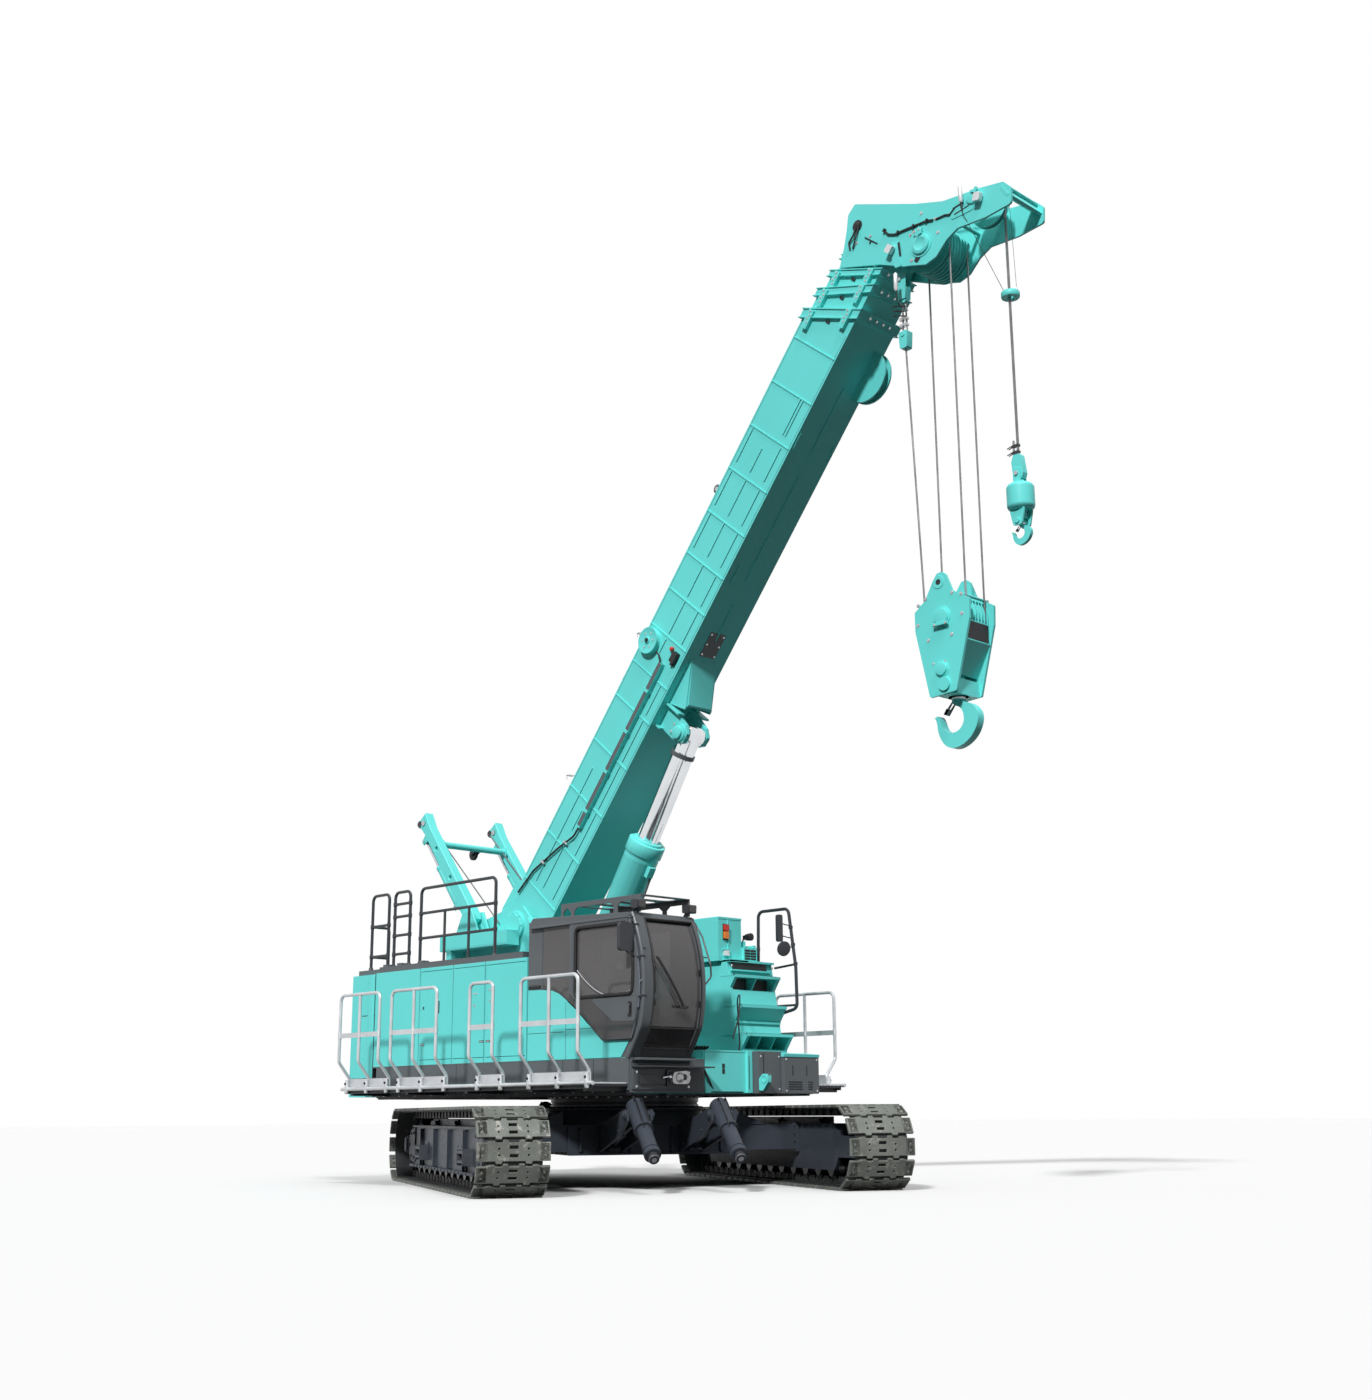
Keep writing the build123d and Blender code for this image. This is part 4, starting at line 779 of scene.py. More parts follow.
# --- Engine ---
# A diesel engine and its radiator behind the doors: cast block, rocker cover, filters,
# belt drive and hoses, in dark grey enamel with bare metal fittings.
engine_grey = coat_of("engine_grey", (0.06, 0.065, 0.07), 0.45, 0.2, 0.15, 0.12, 2, 70)
dress("engine_block", engine_grey, 0.02)
engine = Weldment(UPPER, engine_grey)
for k in range(6):
    x = -2.7 + 0.22 * k
    engine.box(about(x, 0.08), (-1.12, -0.86), (2.29, 2.36))
    engine.bolt((x, -0.99, 2.36), up, 0.016)
    engine.tube(((x, -1.33, 2.1), (x, -1.42, 2.1), (x, -1.44, 1.98)), 0.032, 0.05, 12)
engine.tube(((-2.75, -1.44, 1.96), (-1.5, -1.44, 1.96), (-1.38, -1.4, 2.06)), 0.05, 0.08, 16)
engine.coat = bolt_zinc
for x in (-2.55, -2.25):
    engine.turned((x, -1.4, 1.5), up, ((0, 0.055), (0.01, 0.065), (0.22, 0.065), (0.23, 0.05)), 24)
engine.turned((-1.29, -1, 1.85), along_x,
              ((0, 0.2), (0.03, 0.2), (0.035, 0.15), (0.06, 0.15), (0.065, 0.2), (0.09, 0.2)), 32)
engine.coat = hose_rubber
engine.tube(((-1.35, -0.9, 2.34), (-1.2, -0.9, 2.42), (-0.9, -0.95, 2.4), (-0.7, -1, 2.25)), 0.04, 0.15, 16)
engine.tube(((-1.35, -1.2, 1.35), (-1.1, -1.2, 1.3), (-0.75, -1.1, 1.35)), 0.04, 0.12, 16)
engine.coat = engine_grey
engine.box((-0.72, -0.56), (-1.4, -0.62), (1.2, 2.45))
for k in range(20):
    engine.box((-0.735, -0.715), (-1.38, -0.64), (1.25 + 0.06 * k, 1.27 + 0.06 * k))
engine.fit("engine_fittings", "upper", "engine", 0.003)

# --- Cab ---
# A pressed and welded cabin on rubber mounts, in dark blue-grey paint, with a bowed front
# of smoked laminated glass, a teal lower side panel and a bar-and-plate guard on its roof.
cab_dark = coat_of("cab_dark", (0.102, 0.114, 0.124), 0.36, 0, 0.05, 0.008, 0.6, 220, None, 0, 0.3)
gloss_dark = coat_of("gloss_dark", (0.045, 0.043, 0.046), 0.14, 0, 0.06, 0.004, 0.8, 220, None, 0, 0.5)
cab_trim = coat_of("cab_trim", (0.05, 0.05, 0.053), 0.6, 0, 0.1, 0.08, 1, 160)
gasket_rubber = coat_of("gasket_rubber", (0.008, 0.008, 0.009), 0.45, 0, 0.1, 0.05, 2, 140)
bright_tube = coat_of("bright_tube", (0.55, 0.56, 0.6), 0.22, 0.9, 0.1, 0.03, 2, 160)


def glazing(name, tint, clear, rough=0.02):
    """Tinted glass: a share of it lets the light through, the rest is dark and glossy."""
    material = bpy.data.materials.new(name)
    material.use_nodes = True
    nodes, links = material.node_tree.nodes, material.node_tree.links
    shader = nodes["Principled BSDF"]
    place = nodes.new("ShaderNodeTexCoord")
    film = set_inputs(nodes.new("ShaderNodeTexNoise"), Scale=1.6)
    links.new(place.outputs["Object"], film.inputs["Vector"])
    spread = set_inputs(nodes.new("ShaderNodeMapRange"), To_Min=rough, To_Max=rough + 0.05)
    links.new(film.outputs["Fac"], spread.inputs["Value"])
    links.new(spread.outputs["Result"], shader.inputs["Roughness"])
    set_inputs(shader, Base_Color=(*tint, 1), Alpha=1 - clear, Specular_IOR_Level=0.6)
    return material


cab_glazing = glazing("cab_glazing", (0.12, 0.114, 0.119), 0.36)
door_glazing = glazing("door_glazing", (0.135, 0.128, 0.131), 0.34)
dress("cab_shell", cab_dark, 0.01)
dress("cab_glass", cab_glazing, 0)
dress("cab_roof_guard", cab_dark, 0.003)
right, left = -1.52, -0.59
cab_toe, cab_knee, cab_bulge, cab_brow = (1.76, 1.46), (1.96, 1.8), (2.02, 2.3), (1.82, 3.08)


def bow(z):
    """Where the cab's front is at a height: straight up to its knee and an arc above it."""
    (x1, z1), (x2, z2), (x3, z3) = cab_knee, cab_bulge, cab_brow
    if z < z1:
        return cab_toe[0] + (x1 - cab_toe[0]) * (z - cab_toe[1]) / (z1 - cab_toe[1])
    d = 2 * (x1 * (z2 - z3) + x2 * (z3 - z1) + x3 * (z1 - z2))
    squares = [x * x + z * z for x, z in (cab_knee, cab_bulge, cab_brow)]
    ux = (squares[0] * (z2 - z3) + squares[1] * (z3 - z1) + squares[2] * (z1 - z2)) / d
    uz = (squares[0] * (x3 - x2) + squares[1] * (x1 - x3) + squares[2] * (x2 - x1)) / d
    return ux + (hypot(x1 - ux, z1 - uz) ** 2 - (z - uz) ** 2) ** 0.5


def bow_line(low, high, count=16, out=0):
    """Points up the cab's front between two heights, moved forward by out."""
    heights = [low + (high - low) * k / count for k in range(count + 1)]
    if low < cab_knee[1] < high:
        heights = sorted(heights + [cab_knee[1]])
    return [(bow(z) + out, z) for z in heights]


cab = Weldment(UPPER, cab_dark)
# the lower side's teal panel with its curved top edge, and a glossy dark panel above it
wave = [(0.2, 2.285), (0.4, 2.265), (0.52, 2.225), (0.66, 2.142), (0.85, 2.015), (1.1, 1.812),
        (1.29, 1.655)]
cab.coat = teal_paint
cab.prism([(-0.042, 1.462), (-0.042, 2.29)] + wave + [(1.76, 1.645), (1.62, 1.462)],
          (right - 0.009, right + 0.01))
cab.coat = gloss_dark
gloss_edge = [(0.2, 2.295)] + [(x + 0.006, z + 0.009) for x, z in wave[1:]]
gloss_back = [(1.77, 1.653), (1.88, 1.8), (1.9, 2), (0.79, 2), (0.79, 3), (0.225, 3), (0.225, 2.295)]
cab.prism(gloss_edge + gloss_back, (right - 0.006, right + 0.01))
# seams of the side panel and of the rear door post
cab.coat = gasket_rubber
for x, low, high in ((0.66, 1.462, 2.12), (1.32, 1.462, 1.65)):
    cab.box(about(x, 0.003), (right - 0.0102, right), (low, high))
cab.box((-0.04, 0.62), (right - 0.0102, right), (1.775, 1.781))
cab.box((0.66, 1.31), (right - 0.0102, right), (1.8, 1.806))
cab.box((-0.035, 0.185), (right - 0.0125, right), (2.305, 2.335))
# rear panel edge and the drip rail over the door
cab.coat = cab_dark
cab.box((-0.046, 0.21), (right - 0.004, right + 0.05), (2.345, 3.1))
cab.box((-0.03, 1.8), (right - 0.012, right + 0.02), (3.045, 3.075))
# curved front posts on both sides, rounded at their outer edge
posts = bow_line(1.46, 3.07)
for y0, y1 in ((right - 0.014, right + 0.125), (left - 0.055, left + 0.012)):
    cab.prism([(x + 0.008, z) for x, z in posts] + [(x - 0.07, z) for x, z in posts[::-1]], (y0, y1))
cab.tube([(x - 0.012, right - 0.012, z) for x, z in posts], 0.024, 0, 10)
cab.coat = door_glazing
band = bow_line(1.462, 1.6, 4, 0.004)
cab.prism(band + [(x - 0.05, z) for x, z in band[::-1]], (right + 0.12, left - 0.05))
brow = bow_line(3, 3.07, 4, 0.004)
cab.coat = cab_dark
cab.prism(brow + [(x - 0.08, z) for x, z in brow[::-1]], (right + 0.12, left - 0.05))
# rubber glazing strips round the front and the left windows
cab.coat = gasket_rubber
front_line = bow_line(1.56, 3.01, 16, 0.008)
for y in (right + 0.125, left - 0.055):
    cab.tube([(x, y, z) for x, z in front_line], 0.01, 0, 8)
for z in (1.56, 1.78, 3.01):
    cab.tube(((bow(z) + 0.008, right + 0.125, z), (bow(z) + 0.008, left - 0.055, z)), 0.01, 0, 8)
left_pane = ((0.8, 1.95), (0.25, 1.95), (0.25, 2.95), (1.5, 2.95), (1.5, 1.95), (0.8, 1.95))
rear_pane = ((-1, 2.15), (-1.38, 2.15), (-1.38, 2.95), (-0.73, 2.95), (-0.73, 2.15), (-1, 2.15))
cab.tube([(x, left + 0.001, z) for x, z in left_pane], 0.014, 0.06, 8)
cab.tube([(-0.041, y, z) for y, z in rear_pane], 0.012, 0.05, 8)
# dark quarter glass behind the door
cab.coat = door_glazing
cab.prism(eased(((0.235, 2.33), (0.235, 3.02), (0.72, 3.02), (0.72, 2.145), (0.56, 2.24), (0.45, 2.3)),
                0.02), (right - 0.0085, right - 0.004))
cab.fit("cab_panels", "upper", "dark_paint", 0.003)

# --- Cab fittings ---
# Lamps, mirrors, wipers and grab tubes bolted to the cab's front and roof, with the two
# satin pipes beside the front post, a thin check cable and the bumper below.
lamp_glass = coat_of("lamp_glass", (0.75, 0.77, 0.78), 0.12, 0.3, 0.08, 0.4, 6, 35)
rail_black = coat_of("rail_black", (0.035, 0.038, 0.045), 0.38, 0, 0.12, 0.03, 1.5, 160)
mirror_face = coat_of("mirror_face", (0.55, 0.6, 0.62), 0.05, 1, 0.05, 0.004, 1, 60)
pipe_grey = coat_of("pipe_grey", (0.16, 0.18, 0.22), 0.25, 0.4, 0.1, 0.03, 2, 160)
gear = Weldment(UPPER, rail_black)
for y in (-1.47, -0.66):
    # work lamp in a square dark housing on a bracket at each front corner of the roof
    gear.coat = rail_black
    gear.tube(((1.76, y, 3.08), (1.8, y, 3.13), (1.83, y, 3.15)), 0.016, 0.02, 8)
    gear.prism(eased(((1.79, 3.12), (1.9, 3.115), (1.905, 3.215), (1.79, 3.22)), 0.02), about(y, 0.065))
    gear.coat = gloss_dark
    gear.prism(eased(rectangle((y - 0.055, y + 0.055), (3.13, 3.205)), 0.012), (1.903, 1.909), "x")
# mirror on a stalk at the front post, arms of both wipers, and the blades
gear.coat = rail_black
gear.tube(((1.84, -1.54, 3.02), (1.88, -1.68, 2.98), (1.88, -1.7, 2.62), (1.9, -1.54, 2.56)), 0.01, 0.05, 8)
gear.tube(((1.95, -1.53, 2.66), (2, -1.5, 2.66)), 0.009, 0, 6)
gear.prism(eased(rectangle((-1.8, -1.6), (2.62, 2.94)), 0.05, 4), (1.85, 1.9), "x")
gear.coat = mirror_face
gear.prism(eased(rectangle((-1.785, -1.615), (2.635, 2.925)), 0.04, 4), (1.845, 1.851), "x")
gear.coat = gasket_rubber
blade_top, blade_run = (-1.36, 2.57), (0.4, -0.54)
for shift in (0, 0.035):
    line = [(blade_top[0] + shift + blade_run[0] * k / 6, blade_top[1] + blade_run[1] * k / 6)
            for k in range(7)]
    gear.tube([(bow(z) + 0.03 - 0.3 * shift, y, z) for y, z in line], 0.008, 0, 6)
arm = [2.58 - 0.07 * k for k in range(7)]
gear.tube([(bow(z) + 0.018, -1.405 + 0.004 * k, z) for k, z in enumerate(arm)], 0.009, 0, 6)
gear.box((bow(2.02) + 0.005, bow(2.02) + 0.045), (-1.02, -0.88), (2, 2.03))
for z in (2.06, 2.42):
    gear.box((bow(z) - 0.01, bow(z) + 0.018), (-1.385, -1.365), about(z, 0.035))
    gear.box((bow(z) - 0.01, bow(z) + 0.018), (-0.665, -0.645), about(z, 0.035))
# grab tube that stands off the left front post
gear.coat = rail_black
gear.tube(((1.74, -0.575, 3.02), (1.78, -0.52, 3.04), (1.9, -0.5, 2.85), (2.03, -0.5, 2.52),
           (2.04, -0.5, 2.38), (2, -0.575, 2.28)), 0.011, 0.08, 8)
gear.tube(((1.93, -0.575, 2.62), (1.99, -0.515, 2.6)), 0.008, 0, 6)
gear.coat = pipe_grey
for y, back in ((-1.548, 0.072), (-1.536, 0.012)):
    line = [(x, y, z) for x, z in bow_line(2 if back > 0.05 else 1.95, 3.02, 12, -back)]
    gear.tube(line, 0.017, 0, 10)
gear.coat = rail_black
for z in (2.12, 2.56, 2.92):
    gear.tube(((bow(z) - 0.1, -1.535, z), (bow(z) - 0.06, -1.57, z), (bow(z), -1.562, z + 0.01),
               (bow(z) + 0.02, -1.52, z + 0.01)), 0.009, 0.01, 6)
# the check cable that sags from the door's rear edge to the front post
gear.coat = bright_tube
run = [k / 16 for k in range(17)]
gear.tube([(0.94 + 1.06 * t, -1.6 + 0.05 * t, 2.468 - 0.16 * t - 0.95 * t * (1 - t)) for t in run],
          0.006, 0, 6)
# bumper bar, its bare raised pad, headlamp in a cast bezel and the lamp's pipe
gear.coat = cab_dark
gear.prism(((1.76, 1.375), (1.8, 1.44), (1.8, 1.455), (1.7, 1.455), (1.7, 1.375)), (-1.51, -0.6))
gear.prism(((1.75, 1.11), (1.79, 1.11), (1.8, 1.33), (1.75, 1.33)), (-1.51, -0.62))
gear.coat = rail_black
gear.box((1.75, 1.99), (-1.5, -0.4), (1.35, 1.366))
gear.box((1.79, 1.815), (-1.42, -1.02), (1.17, 1.27))
gear.box((1.795, 1.82), (-1, -0.66), (1.15, 1.33))
gear.coat = lamp_glass
gear.prism(eased(((-0.96, 1.17), (-0.94, 1.3), (-0.72, 1.32), (-0.66, 1.25), (-0.7, 1.17)), 0.05, 4),
           (1.82, 1.862), "x")
gear.turned((1.855, -0.84, 1.24), along_x, ((0, 0.05), (0.016, 0.056), (0.022, 0.045)), 20)
gear.coat = rail_black
gear.turned((1.858, -0.77, 1.245), along_x, ((0, 0.03), (0.016, 0.034), (0.02, 0.025)), 20)
gear.coat = bright_tube
gear.tube(((1.83, -1.08, 1.24), (1.86, -1.02, 1.25), (1.86, -0.99, 1.27), (1.85, -0.95, 1.24)), 0.01,
          0.02, 8)
gear.turned((1.82, -0.99, 1.245), along_x, ((0, 0.018), (0.05, 0.018), (0.055, 0.01)), 12)
for y in (-1.45, -0.64):
    gear.bolt((1.8, y, 1.3), along_x, 0.009)
    gear.bolt((1.795, y, 1.14), along_x, 0.009)
gear.fit("cab_fittings", "upper", "black_rail", 0.0015)

# --- Cab inside ---
# A sprung driver's seat with foam cushions in grey cloth, two control consoles with
# levers, pedals, a display and trim, seen through the smoked glass.
seat_cloth = coat_of("seat_cloth", (0.055, 0.056, 0.06), 0.85, 0, 0.12, 0.5, 3, 320, None, 0, 0.15)
screen_glass = coat_of("screen_glass", (0.02, 0.03, 0.035), 0.08, 0, 0.05, 0.01, 1, 60)
cab_floor = 1.515
cabin = Weldment(UPPER, cab_trim)
cabin.box((0.46, 0.94), (-1.29, -0.83), (cab_floor, cab_floor + 0.06))
for k in range(5):
    z = cab_floor + 0.08 + 0.055 * k
    cabin.prism(eased(((0.5 + 0.012 * k, z - 0.02), (0.9 - 0.012 * k, z - 0.02), (0.92, z + 0.02),
                       (0.48, z + 0.02)), 0.01), (-1.26, -0.86))
for y0, y1 in ((-1.39, -1.315), (-0.805, -0.73)):
    cabin.prism(eased(((0.45, 1.95), (0.45, 2.12), (0.95, 2.15), (1.05, 2.1), (1.05, 1.98), (0.9, 1.92)),
                      0.03), (y0, y1))
    cabin.tube(((0.95, (y0 + y1) / 2, 2.12), (0.97, (y0 + y1) / 2, 2.28), (0.96, (y0 + y1) / 2, 2.33)),
               0.012, 0.03, 8)
    cabin.turned((0.957, (y0 + y1) / 2, 2.28), (-0.1, 0, 1),
                 ((0, 0.016), (0.02, 0.026), (0.08, 0.028), (0.1, 0.016)), 16)
cabin.prism(eased(((1.36, cab_floor), (1.36, 1.92), (1.42, 2.02), (1.56, 2.02), (1.6, cab_floor)), 0.03),
            (-1.25, -0.87))
for y in (-1.16, -0.98):
    cabin.box((1.2, 1.34), about(y, 0.045), (cab_floor + 0.06, cab_floor + 0.09))
    cabin.tube(((1.28, y, cab_floor + 0.09), (1.33, y, 1.8), (1.3, y, 2.1)), 0.012, 0.05, 8)
cabin.coat = screen_glass
cabin.prism(eased(rectangle((-1.32, -1.02), (2.06, 2.28)), 0.02), (1.5, 1.53), "x")
cabin.coat = cab_trim
cabin.prism(eased(rectangle((-1.34, -1), (2.04, 2.3)), 0.03), (1.525, 1.55), "x")
cabin.tube(((1.53, -1.17, 2.06), (1.5, -1.17, 1.95)), 0.015, 0, 8)
cabin.box((0.02, 0.1), (-1.45, -0.66), (cab_floor, 2.13))
cabin.box((-0.02, 1.55), (-1.46, -0.65), (cab_floor - 0.004, cab_floor + 0.012))
cabin.fit("cab_consoles", "upper", "cab_trim", 0.004, ("cab_interior",))


def cushion(name, centre, size, pull, lean=0):
    """A foam block with crowned faces and drawn-in sides, sewn round its edge."""
    made = bmesh.new()
    bmesh.ops.create_cube(made, size=1)
    bmesh.ops.subdivide_edges(made, edges=made.edges, cuts=9, use_grid_fill=True)
    for v in made.verts:
        x, y, z = (2 * c for c in v.co)
        crown = (1 - x * x) * (1 - y * y)
        waist = 1 - pull * (1 - z * z) * (x * x + y * y) / 2
        groove = 0.05 * max(0, 1 - abs(abs(y) - 0.62) / 0.06) * (1 if z > 0.9 else 0)
        corner = 1 - 0.1 * (x * x * y * y)
        v.co = Vector((x * size[0] / 2 * corner * waist, y * size[1] / 2 * corner * waist,
                       (z * (0.8 + 0.2 * crown) - groove) * size[2] / 2))
    mesh = bpy.data.meshes.new(name)
    made.to_mesh(mesh)
    made.free()
    mesh.materials.append(seat_cloth)
    mesh.shade_smooth()
    piece = placed(name, mesh)
    piece.matrix_world = UPPER @ Matrix.Translation(centre) @ Matrix.Rotation(lean, 4, "Y")
    smooth = piece.modifiers.new("foam", "SUBSURF")
    smooth.levels = smooth.render_levels = 1
    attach(piece, "upper")


cushion("seat_cushion", (0.71, -1.06, 1.95), (0.53, 0.49, 0.13), 0.1)
cushion("seat_back", (0.465, -1.06, 2.32), (0.62, 0.47, 0.13), 0.1, radians(-83))
cushion("head_rest", (0.43, -1.06, 2.72), (0.17, 0.3, 0.1), 0.12, radians(-83))

# --- Cab door ---
# A sliding door hung on a roof rail: one pressed leaf with a smoked pane in a thick
# rubber gasket, a recessed handle with a black latch, and a glossy lower corner.
dress("cab_door", cab_dark, 0.006)
dress("cab_door_glass", door_glazing, 0)
door = Weldment(UPPER, cab_dark)
leaf = -1.572
# rubber gasket round the pane, its front edge bowed as the door's
pane = [(1.3, 2.155), (0.875, 2.155), (0.875, 2.96), (1.78, 2.96), (1.845, 2.76), (1.872, 2.5),
        (1.868, 2.3), (1.855, 2.155), (1.3, 2.155)]
door.coat = gasket_rubber
door.tube([(x, leaf - 0.001, z) for x, z in pane], 0.022, 0.07, 10)
door.box((1.52, 1.8), (leaf - 0.003, leaf + 0.004), (2.06, 2.072))
door.prism(eased(((1.795, 1.9), (1.795, 2.072), (1.855, 2.066), (1.85, 1.9)), 0.012),
           (leaf - 0.012, leaf + 0.004))
# glossy lower part and the painted handle panel standing on it
door.coat = gloss_dark
door.prism([(0.8, 2.195), (1.357, 1.672), (1.83, 1.672), (1.9, 1.86), (1.925, 2.13), (0.87, 2.135)],
           (leaf - 0.002, leaf + 0.004))
door.coat = cab_dark
door.prism(eased(((1.14, 2.125), (1.3, 2.02), (1.53, 1.862), (1.905, 1.852), (1.93, 2), (1.935, 2.125)),
                 0.03), (leaf - 0.006, leaf + 0.002))
door.prism(((0.785, 2.22), (0.83, 2.18), (0.83, 3), (0.785, 3)), (leaf - 0.003, leaf + 0.002))
door.tube(((1.825, leaf - 0.012, 1.93), (1.825, leaf - 0.03, 1.94), (1.825, leaf - 0.03, 2.03),
           (1.825, leaf - 0.012, 2.04)), 0.009, 0.02, 8)
door.coat = gasket_rubber
for x in (0.95, 1.65):
    door.box(about(x, 0.05), (leaf + 0.002, leaf + 0.03), (2.985, 3.012))
door.fit("cab_door_fittings", "cab_door", "dark_paint", 0.002)

# --- Stepped tower ---
# Welded teal steps up to the roof beside the boom, with hollow mouths under the treads,
# a tall cabinet with the load lamps, a dark vent box and a grab rail carrying the mirrors.
dress("step_tower", teal_paint, 0.006)
dress("tower_rail", rail_black, 0)
amber_lens = coat_of("amber_lens", (0.85, 0.22, 0.02), 0.15, 0, 0.05, 0.05, 3, 60)
tower_y = (0.56, 1.37)
tower_top = 2.69
tower = Weldment(UPPER, teal_paint)
for z, lip, mouth in ((2.5, 1.39, True), (2.13, 1.49, False), (1.78, 1.59, True)):
    # tread edge with a rolled lip, slanted cheeks and the frame round each mouth
    tower.coat = teal_paint
    tower.box((1.15, lip + 0.004), (tower_y[0] - 0.004, tower_y[1] + 0.012), (z - 0.01, z + 0.006))
    tower.box((lip - 0.02, lip + 0.006), (tower_y[0] - 0.004, tower_y[1] + 0.012), (z - 0.028, z + 0.006))
    tower.prism(((1.16, z - 0.19), (lip - 0.112, z - 0.19), (lip + 0.002, z - 0.02), (1.16, z - 0.02)),
                (tower_y[1] - 0.002, tower_y[1] + 0.01))
    tower.box((lip - 0.16, lip - 0.085), (tower_y[0] + 0.01, tower_y[1] - 0.01), (z - 0.215, z - 0.188))
    if mouth:
        # black plate at the back of the mouth: painted shade inside it
        tower.coat = seam_and_shade_black
        tower.box((1.204, 1.214), (tower_y[0] + 0.03, tower_y[1] - 0.03), (z - 0.172, z - 0.032))
        tower.coat = teal_paint
        for y in ((0.94, 0.965),) if z > 2 else ((0.8, 0.82), (1.06, 1.08)):
            tower.prism(((1.21, z - 0.175), (lip - 0.1, z - 0.175), (lip - 0.005, z - 0.03),
                         (1.21, z - 0.03)), y)
    tower.coat = step_grip
    for k in range(16):
        y = tower_y[0] + 0.03 + 0.048 * k
        tower.box((1.17, lip - 0.015), (y, y + 0.016), (z + 0.004, z + 0.012))
# top step's recess as a black strip of painted shade, seams and bolts on the front faces
tower.coat = seam_and_shade_black
tower.prism(((1.265, 2.58), (1.262, 2.665), (1.275, 2.665), (1.278, 2.58)), (0.64, 1.25))
tower.coat = teal_paint
tower.box((1.1, 1.3), (tower_y[0], tower_y[1]), (2.665, tower_top))
tower.box((1.24, 1.315), (0.6, 1.3), (2.555, 2.575))
tower.coat = bolt_zinc
for y, z in ((0.6, 2.62), (0.6, 1.95), (1.33, 1.95), (0.6, 2.28), (1.33, 2.62)):
    tower.bolt((1.36 if z < 2 else 1.3, y, z), (0.97, 0, 0.12), 0.009)
tower.coat = seam_and_shade_black
tower.box((1.452, 1.464), (0.6, 1.33), (1.5, 1.504))
# tall cabinet: door seam, lamp stack with red and amber lenses above a white sensor box
tower.coat = teal_paint
tower.box((0.695, 1.185), (0.495, 0.905), (3.2, 3.226))
tower.box((1.178, 1.192), (0.655, 0.662), (2.7, 3.2))
tower.coat = seam_and_shade_black
tower.box((1.176, 1.184), (0.57, 0.66), (2.94, 3.14))
tower.coat = red_lens
tower.prism(eased(rectangle((0.578, 0.652), (3.055, 3.13)), 0.012), (1.178, 1.215), "x")
tower.coat = amber_lens
tower.prism(eased(rectangle((0.578, 0.652), (2.955, 3.045)), 0.012), (1.178, 1.212), "x")
tower.coat = lamp_glass
tower.box((1.178, 1.215), (0.575, 0.655), (2.745, 2.81))
tower.coat = teal_paint
tower.box((1.175, 1.205), (0.56, 0.67), (2.815, 2.83))
tower.box((1.18, 1.3), (0.56, 0.9), (2.67, 2.7))
# vent box with dark slots, and a small camera on a post, on the tower's top
tower.coat = teal_paint
tower.box((1, 1.215), (0.905, 1.15), (tower_top, 2.865))
tower.box((1.08, 1.15), (0.97, 1.01), (2.86, 2.95))
tower.box((1.05, 1.2), (1.1, 1.145), (2.86, 2.9))
tower.box((1, 1.24), (0.97, 1.23), (2.685, 2.7))
tower.coat = seam_and_shade_black
for k in range(4):
    for j in range(2):
        tower.box((1.212, 1.219), (0.925 + 0.105 * j, 1.02 + 0.105 * j),
                  (2.715 + 0.034 * k, 2.738 + 0.034 * k))
tower.turned((1.09, 1.085, 3.01), along_x, ((0, 0.04), (0.07, 0.048), (0.09, 0.048), (0.095, 0.04)), 20)
tower.box((1.08, 1.15), (1.03, 1.06), (2.975, 3.03))
tower.tube(((1.12, 0.99, 2.94), (1.12, 1, 2.985), (1.12, 1.06, 2.99)), 0.01, 0.02, 8)
tower.fit("tower_fittings", "upper", "teal_paint", 0.002)
# braces and clamps of the grab rail, with one long mirror, one round mirror and stalks
rail = Weldment(UPPER, rail_black)
rail_y = 1.391
for x, z, lift in ((1.655, 2.655, -0.03), (1.655, 2.15, 0)):
    rail.tube(((1.29, rail_y, z + lift), (x, rail_y, z)), 0.015, 0, 10)
for x, z in ((1.005, 2.88), (1, 2.6), (1.575, 3.12), (1.61, 2.9), (1.645, 2.66)):
    rail.pin((x, rail_y, z - 0.02), (0.05, 0, 1), 0.028, 0.04, 12)
rail.tube(((1.01, rail_y + 0.01, 2.9), (0.99, rail_y + 0.05, 2.92)), 0.008, 0, 6)
for x, z in ((1.575, 3.14), (1.6, 2.98)):
    rail.tube(((x, rail_y, z), (x - 0.03, rail_y - 0.05, z + 0.01), (x - 0.02, rail_y - 0.15, z + 0.02)),
              0.008, 0.03, 6)
rail.prism(eased(rectangle((1.17, 1.26), (2.93, 3.27)), 0.03, 4), (1.52, 1.565), "x")
rail.turned((1.56, 1.25, 2.85), (0.9, -0.2, -0.25),
            ((0, 0.05), (0.015, 0.093), (0.04, 0.095), (0.045, 0.085)), 28)
rail.tube(((1.61, rail_y, 2.86), (1.59, 1.32, 2.88), (1.56, 1.26, 2.87)), 0.008, 0.03, 6)
rail.coat = mirror_face
rail.prism(eased(rectangle((1.18, 1.25), (2.94, 3.26)), 0.025, 4), (1.514, 1.521), "x")
rail.fit("tower_mirrors", "upper", "black_rail", 0.002)

